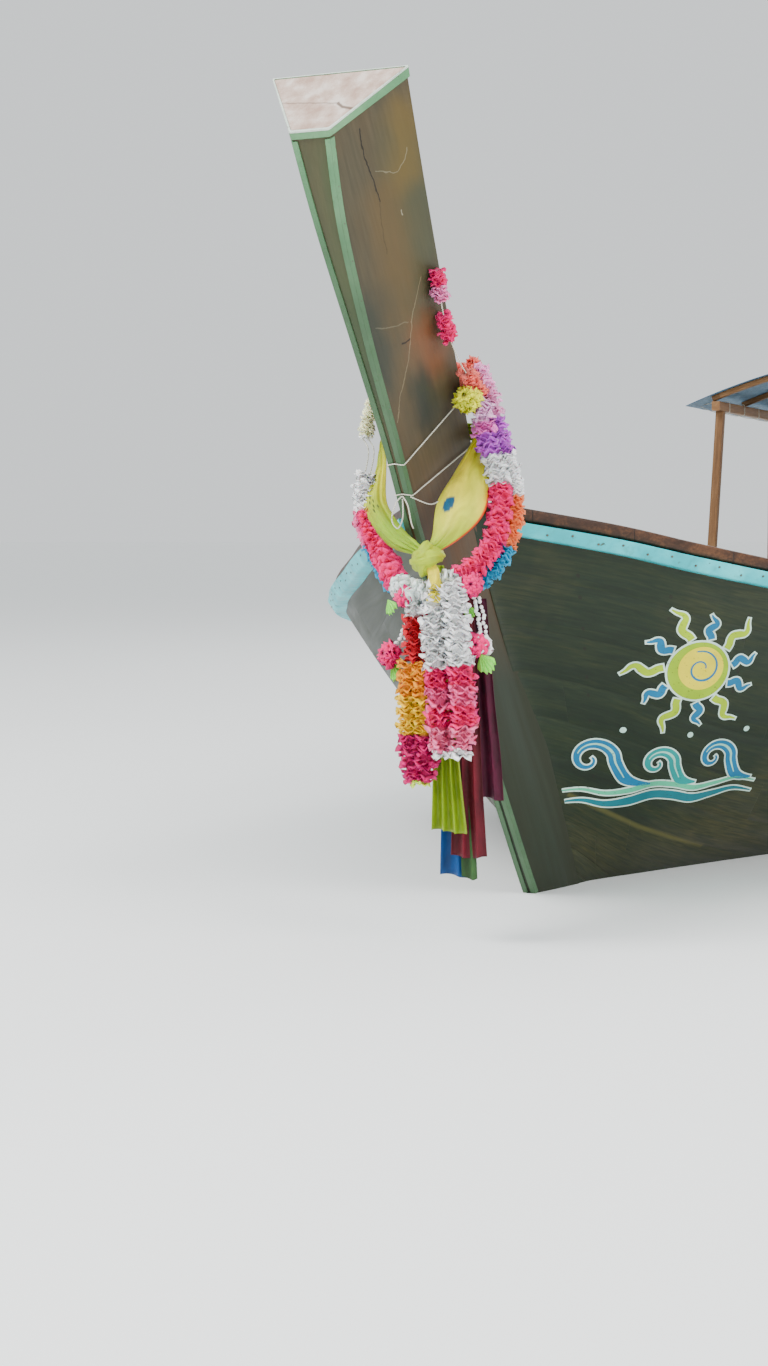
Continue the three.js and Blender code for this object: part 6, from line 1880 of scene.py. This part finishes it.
# %% Alternator and belt drive
ALTERNATOR = (-225, 150)
parts = [lathe((110, *ALTERNATOR), AHEAD, [(0, 20), (2, 52), (8, 60), (34, 61.5), (36, 58), (88, 58),
    (90, 61.5), (116, 60), (123, 50), (125, 20)], 48, flutes=24, flute_deep=0.012)]
parts += [lathe((236, *ALTERNATOR), AHEAD, [(0, 20), (2, 56), (5, 56), (8, 22)], 48, 1, flutes=12,
    flute_deep=0.06)]
parts += [lathe((235, *ALTERNATOR), AHEAD, [(0, 12), (69, 12), (71, 10)], 24, 1)]
parts += [block((112, -182, 130), (158, -151.5, 170), 8)]
parts += bolts([(108, -225 + 42 * math.cos(a), 150 + 42 * math.sin(a)) for a in (0.6, 2.7, 4.8)], ASTERN, 5,
    5)
parts += [lathe((108, -205, 182), ASTERN, [(0, 9), (10, 9), (11, 4), (16, 4)], 12, 1)]
alternator = build("belt_driven_alternator", parts, [cast_alloy, oily_steel], body="engine",
    sharp=40)
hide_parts("alternator")
PULLEYS = [((0, 0), 75), (ALTERNATOR, 36), ((0, 235), 55)]
parts = []
for (y, z), radius in PULLEYS:
    parts += [lathe((304, y, z), AHEAD, [(0, radius * 0.3), (0.5, radius), (3, radius), (7, radius - 9),
        (15, radius - 9), (19, radius), (21.5, radius), (22, radius * 0.3)], 48, 1)]
    reach = 304 if y else 281.5
    parts += [lathe((326, y, z), AHEAD, [(-1, 11), (1, 15), (6, 14), (7, 8)], 6, 1)]
    if not y:
        parts += [lathe((reach, y, z), AHEAD, [(0, 22), (28, 22)], 28, 1)]
belt_angle = turns(28)
wrap_points = np.concatenate([place + (radius - 1) * circle(belt_angle) for place, radius in PULLEYS])
heading = turns(240)
reach_out = (wrap_points @ circle(heading).T).argmax(0)
belt_line = wrap_points[reach_out[np.append(True, np.diff(reach_out) != 0)]]
belt_line = belt_line if not np.allclose(belt_line[0], belt_line[-1]) else belt_line[:-1]
belt_ahead = unit(np.roll(belt_line, -1, 0) - np.roll(belt_line, 1, 0))
belt_out = np.stack([belt_ahead[:, 1], -belt_ahead[:, 0]], -1)
section = np.array([(309.5, -5.5), (320.5, -5.5), (322.5, 4.5), (307.5, 4.5)])
belt_ring = np.stack([np.stack([np.full(len(belt_line), x), *(belt_line + belt_out * out).T], -1) for x,
    out in section], axis=1)
parts += [patch(tipped(belt_ring), wrap=(True, True))]
belt = build("belt_and_pulleys", parts, [rubber, cast_alloy], body="engine", sharp=40)
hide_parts("belt_drive")

# %% Bell housing
parts = [lathe((-590, 0, 0), AHEAD, [(0, 40), (1, 62), (14, 62), (16, 66), (60, 72), (90, 78), (126, 98),
    (160, 120), (195, 141), (226, 156), (232, 163), (250, 163), (252, 159), (270, 159), (272, 164.5),
    (288, 164.5), (289, 60)], 56)]
for n in range(8):
    turn = 2 * math.pi * (n + 0.5) / 8
    c, s = math.cos(turn), math.sin(turn)
    rib = [(-560, 66), (-430, 118), (-362, 152), (-362, 161), (-440, 134), (-560, 76)]
    ring = np.array([[[x, r * c + t * -s, r * s + t * c] for x, r in rib] for t in (-4, 4)])
    parts += [tube(tipped(ring))]
    parts += bolts([(-319, 154 * c, 154 * s)], ASTERN, 6, 5)
bell = build("cast_bell_housing", parts, [cast_alloy, oily_steel], body="engine", sharp=40)
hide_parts("bell_housing")

# %% [markdown]
# The tail is a steel tube, thick near the engine and thinner beyond its weld. A gusset
# stiffens its flange, a fin below guards the screw, and a gland and grease cup sit at the
# end bearing. The screw has three twisted blades with rounded tips.

# %% Tail tube
parts = [lathe((-591, 0, 0), ASTERN, [(0, 30), (0.5, 75), (21, 75), (22, 50), (30, 46), (500, 46), (509, 45),
    (514, 39), (520, 36), (3290, 36), (3294, 43), (3300, 44), (3380, 44), (3384, 47), (3400, 47), (3404, 44),
    (3430, 42), (3434, 20)], 40)]
parts += bolts([(-613, 62 * math.cos(a), 62 * math.sin(a)) for a in np.arange(6) * math.pi / 3 + 0.4], ASTERN,
    7, 7)
parts += [plate([(-900, 44), (-880, 47), (-640, 108), (-613, 109), (-613, 40), (-900, 40)], -6, 6)]
parts += [plate([(-3480, -30), (-4010, -30), (-4020, -52), (-4128, -246), (-4122, -258), (-4066, -264),
    (-4040, -252), (-3862, -150), (-3622, -60)], -4, 4)]
parts += [lathe((x, 0, 0), AHEAD, [(0, 36), (1, 39), (15, 39), (16, 36)], 36) for x in (-1600, -2400, -3200)]
parts += [lathe((-3950, 0, 42), UP, [(0, 8), (10, 8), (11, 14), (28, 14), (30, 10)], 20, 1, flutes=10,
    flute_deep=0.05)]
tail_piece = build("long_tail_tube", parts, [tail_paint, oily_steel], body="engine",
    sharp=40)
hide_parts("tail_tube")

# %% Screw
TAIL_REACH = -4100
parts = [lathe((-3975, 0, 0), ASTERN, [(0, 17), (84, 17), (85, 26), (90, 29.5), (172, 29.5), (178, 26),
    (196, 18), (206, 9), (209.5, 2)], 36)]
blade_k = np.linspace(0, 1, 15)[:, None]
blade_radius = 20 + 144 * blade_k
chord_half = (17 + 31 * np.sin(np.pi * np.minimum(0.97, 0.12 + 0.8 * blade_k))) * np.sqrt(np.clip(1.0
    - ((blade_k - 0.72) / 0.285).clip(0, 1) ** 2.5, 0.02, 1))
blade_pitch = np.arctan2(200, 2 * np.pi * blade_radius)
section_angle = turns(20)[None]
chordwise = np.cos(section_angle) * chord_half
thickwise = np.sin(section_angle) * (4.6 - 3.0 * blade_k)
blade_along = chordwise * np.sin(blade_pitch) + thickwise * np.cos(blade_pitch)
blade_round = chordwise * np.cos(blade_pitch) - thickwise * np.sin(blade_pitch)
for n in range(3):
    blade_angle = 2 * math.pi * n / 3 + blade_round / blade_radius
    blade = np.stack([TAIL_REACH - 5 + blade_along, blade_radius * np.cos(blade_angle),
        blade_radius * np.sin(blade_angle)], -1)
    parts += [tube(tipped(blade))]
screw = build("three_bladed_screw", parts, [bronze], body="screw", sharp=50)
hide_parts("propeller")

# %% Tiller
ridges = [(start + step, radius) for start in range(2, 112, 22) for step, radius in ((0, 27), (10, 27),
    (12, 25.5), (20, 25.5))]
parts = [lathe((421, 0, -70), (39, 0, -6), [(0, 20), (0.5, 39.5), (12, 39.5), (13, 26), (30, 21)], 32, 1),
    pipe([(440, 0, -73), (620, 0, -110), (1100, 0, -240), (1400, 0, -322)], 20.5, sectors=20, steps=10)]
parts += [lathe((1375, 0, -315.6), (155, 0, -43.4), [(0, 21), *ridges, (112, 27), (144, 27), (152, 22),
    (158, 8)], 32, 2)]
parts += [pipe([(1330, 0, -300), (1345, 0, -270), (1362, 0, -232), (1370, 0, -216)], 5.5, kind=1, sectors=12)]
parts += [lathe((1368, 0, -222), (6, 0, 16), [(0, 3), (4, 8.5), (9, 9.5), (14, 6), (16, 1)], 16, 2)]
parts += [lathe((x, 0, z), (14, 0, -3.6), [(0, 20), (1, 23), (13, 23), (14, 20)], 28, 1) for x,
    z in ((640, -115), (900, -185), (1200, -267))]
tiller = build("steering_tiller", parts, [tail_paint, oily_steel, rubber], body="engine",
    sharp=40)
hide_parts("tiller_handle")

# %% Swivel bolts
parts = bolts([(-4900 + sx * 72, sy * 72, 904) for sx in (-1, 1) for sy in (-1, 1)], UP, 9, 9, carry=placed,
    kind=0)
build("swivel_socket_bolts", parts, [oily_steel], sharp=40)
parts = [lathe((-4900, s * 250, 1320), (0, s, 0), [(-1, 36), (1, 42), (3, 42), (4, 24)], 32, 0, carry=placed)
    for s in (-1, 1)]
parts += [lathe((-4870, s * 150, 1003), UP, [(0, 12), (6, 12), (7, 9)], 6, 0, carry=placed) for s in (-1, 1)]
build("swivel_fork_washers", parts, [oily_steel], body="swivel", sharp=40)

# %% [markdown]
# A red moulded can feeds the engine, and a battery starts it. Both stand on the after
# deck. The can has ribs, a knurled cap and a moulded grip. The battery has a lid with
# filler plugs, two lead posts with clamps, and a webbing strap.

# %% Fuel can and battery
parts = [block((-4080, 330, 282), (-3680, 570, 550), 22, carry=placed)]
parts += [block((x - 9, 327.5, 310), (x + 9, 572.5, 520), 7, carry=placed) for x in (-4030, -3950, -3870,
    -3790, -3720)]
parts += [lathe((-3960, 450, 546), UP, [(0, 38), (6, 38), (8, 28), (10, 28), (11, 32), (31, 32), (34, 28)],
    48, 1, placed, 16, 0.03)]
parts += [pipe([(-3860, 450, 545), (-3858, 450, 572), (-3840, 450, 582), (-3795, 450, 584), (-3750, 450, 582),
    (-3732, 450, 572), (-3730, 450, 545)], 8.5, 0, 16, carry=placed)]
parts += [lathe((-4045, 450, 548), UP, [(0, 14), (6, 14), (7, 7), (10, 9), (13, 7), (16, 9), (19, 7),
    (24, 7)], 20, 2, placed)]
can = build("red_fuel_can", parts, [red_tank, black_plastic, oily_steel], sharp=40)
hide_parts("fuel_tank")
parts = [block((-4020, -560, 282), (-3720, -380, 482), 9, carry=placed), block((-4030, -570, 478),
    (-3710, -370, 506), 7, carry=placed)]
parts += [lathe((x, -415, 505), UP, [(0, 16), (5, 16), (7, 14), (8, 4)], 24, 1, placed) for x in (-3990,
    -3944, -3898, -3852, -3806, -3760)]
for x in (-3960, -3780):
    parts += [lathe((x, -470, 505), UP, [(0, 13), (1, 12), (15, 9.5), (16, 7)], 24, 2, placed)]
    parts += [lathe((x, -470, 508), UP, [(0, 14), (0.5, 18), (7, 18), (8, 14)], 24, 2, placed)]
    parts += [block((x - 7, -500, 508), (x + 7, -484, 517), 2, kind=2, carry=placed)]
parts += [block((-3886, -572.5, 290), (-3854, -367.5, 508.5), 3, kind=3, carry=placed)]
battery = build("starter_battery", parts, [black_plastic, rubber, cast_alloy, black_enamel],
    sharp=40)
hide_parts("battery_box")

# %% Canopy lashings
LASH_SPOTS = -1.12 - 0.297 * np.arange(8)
lash_line = np.array([[1222, 1783], [1160, 1757], [1113, 1745], [1085, 1743], [1056, 1748], [1054, 1775],
    [1057, 1802], [1085, 1806], [1130, 1803], [1180, 1797], [1222, 1789]]) * MM
lashes = []
for mirror in SIDES.values():
    for x in LASH_SPOTS:
        path = np.column_stack([x + 5 * MM * np.sin(np.linspace(0, 3, len(lash_line))), lash_line]) * mirror
        lashes.append(string(path, 1.8 * MM))
        hoop = np.linspace(0, 2 * np.pi, 17)
        ring = np.column_stack([x + 8 * MM * np.cos(hoop), 1.222 + 8 * MM * np.sin(hoop),
            1.787 - 8 * MM * np.sin(hoop) * 0.42])
        lashes.append(string(ring * mirror, 1.6 * MM, kind=1))
build("canopy_lashings_and_eyelets", lashes, [cord_white, oily_steel])
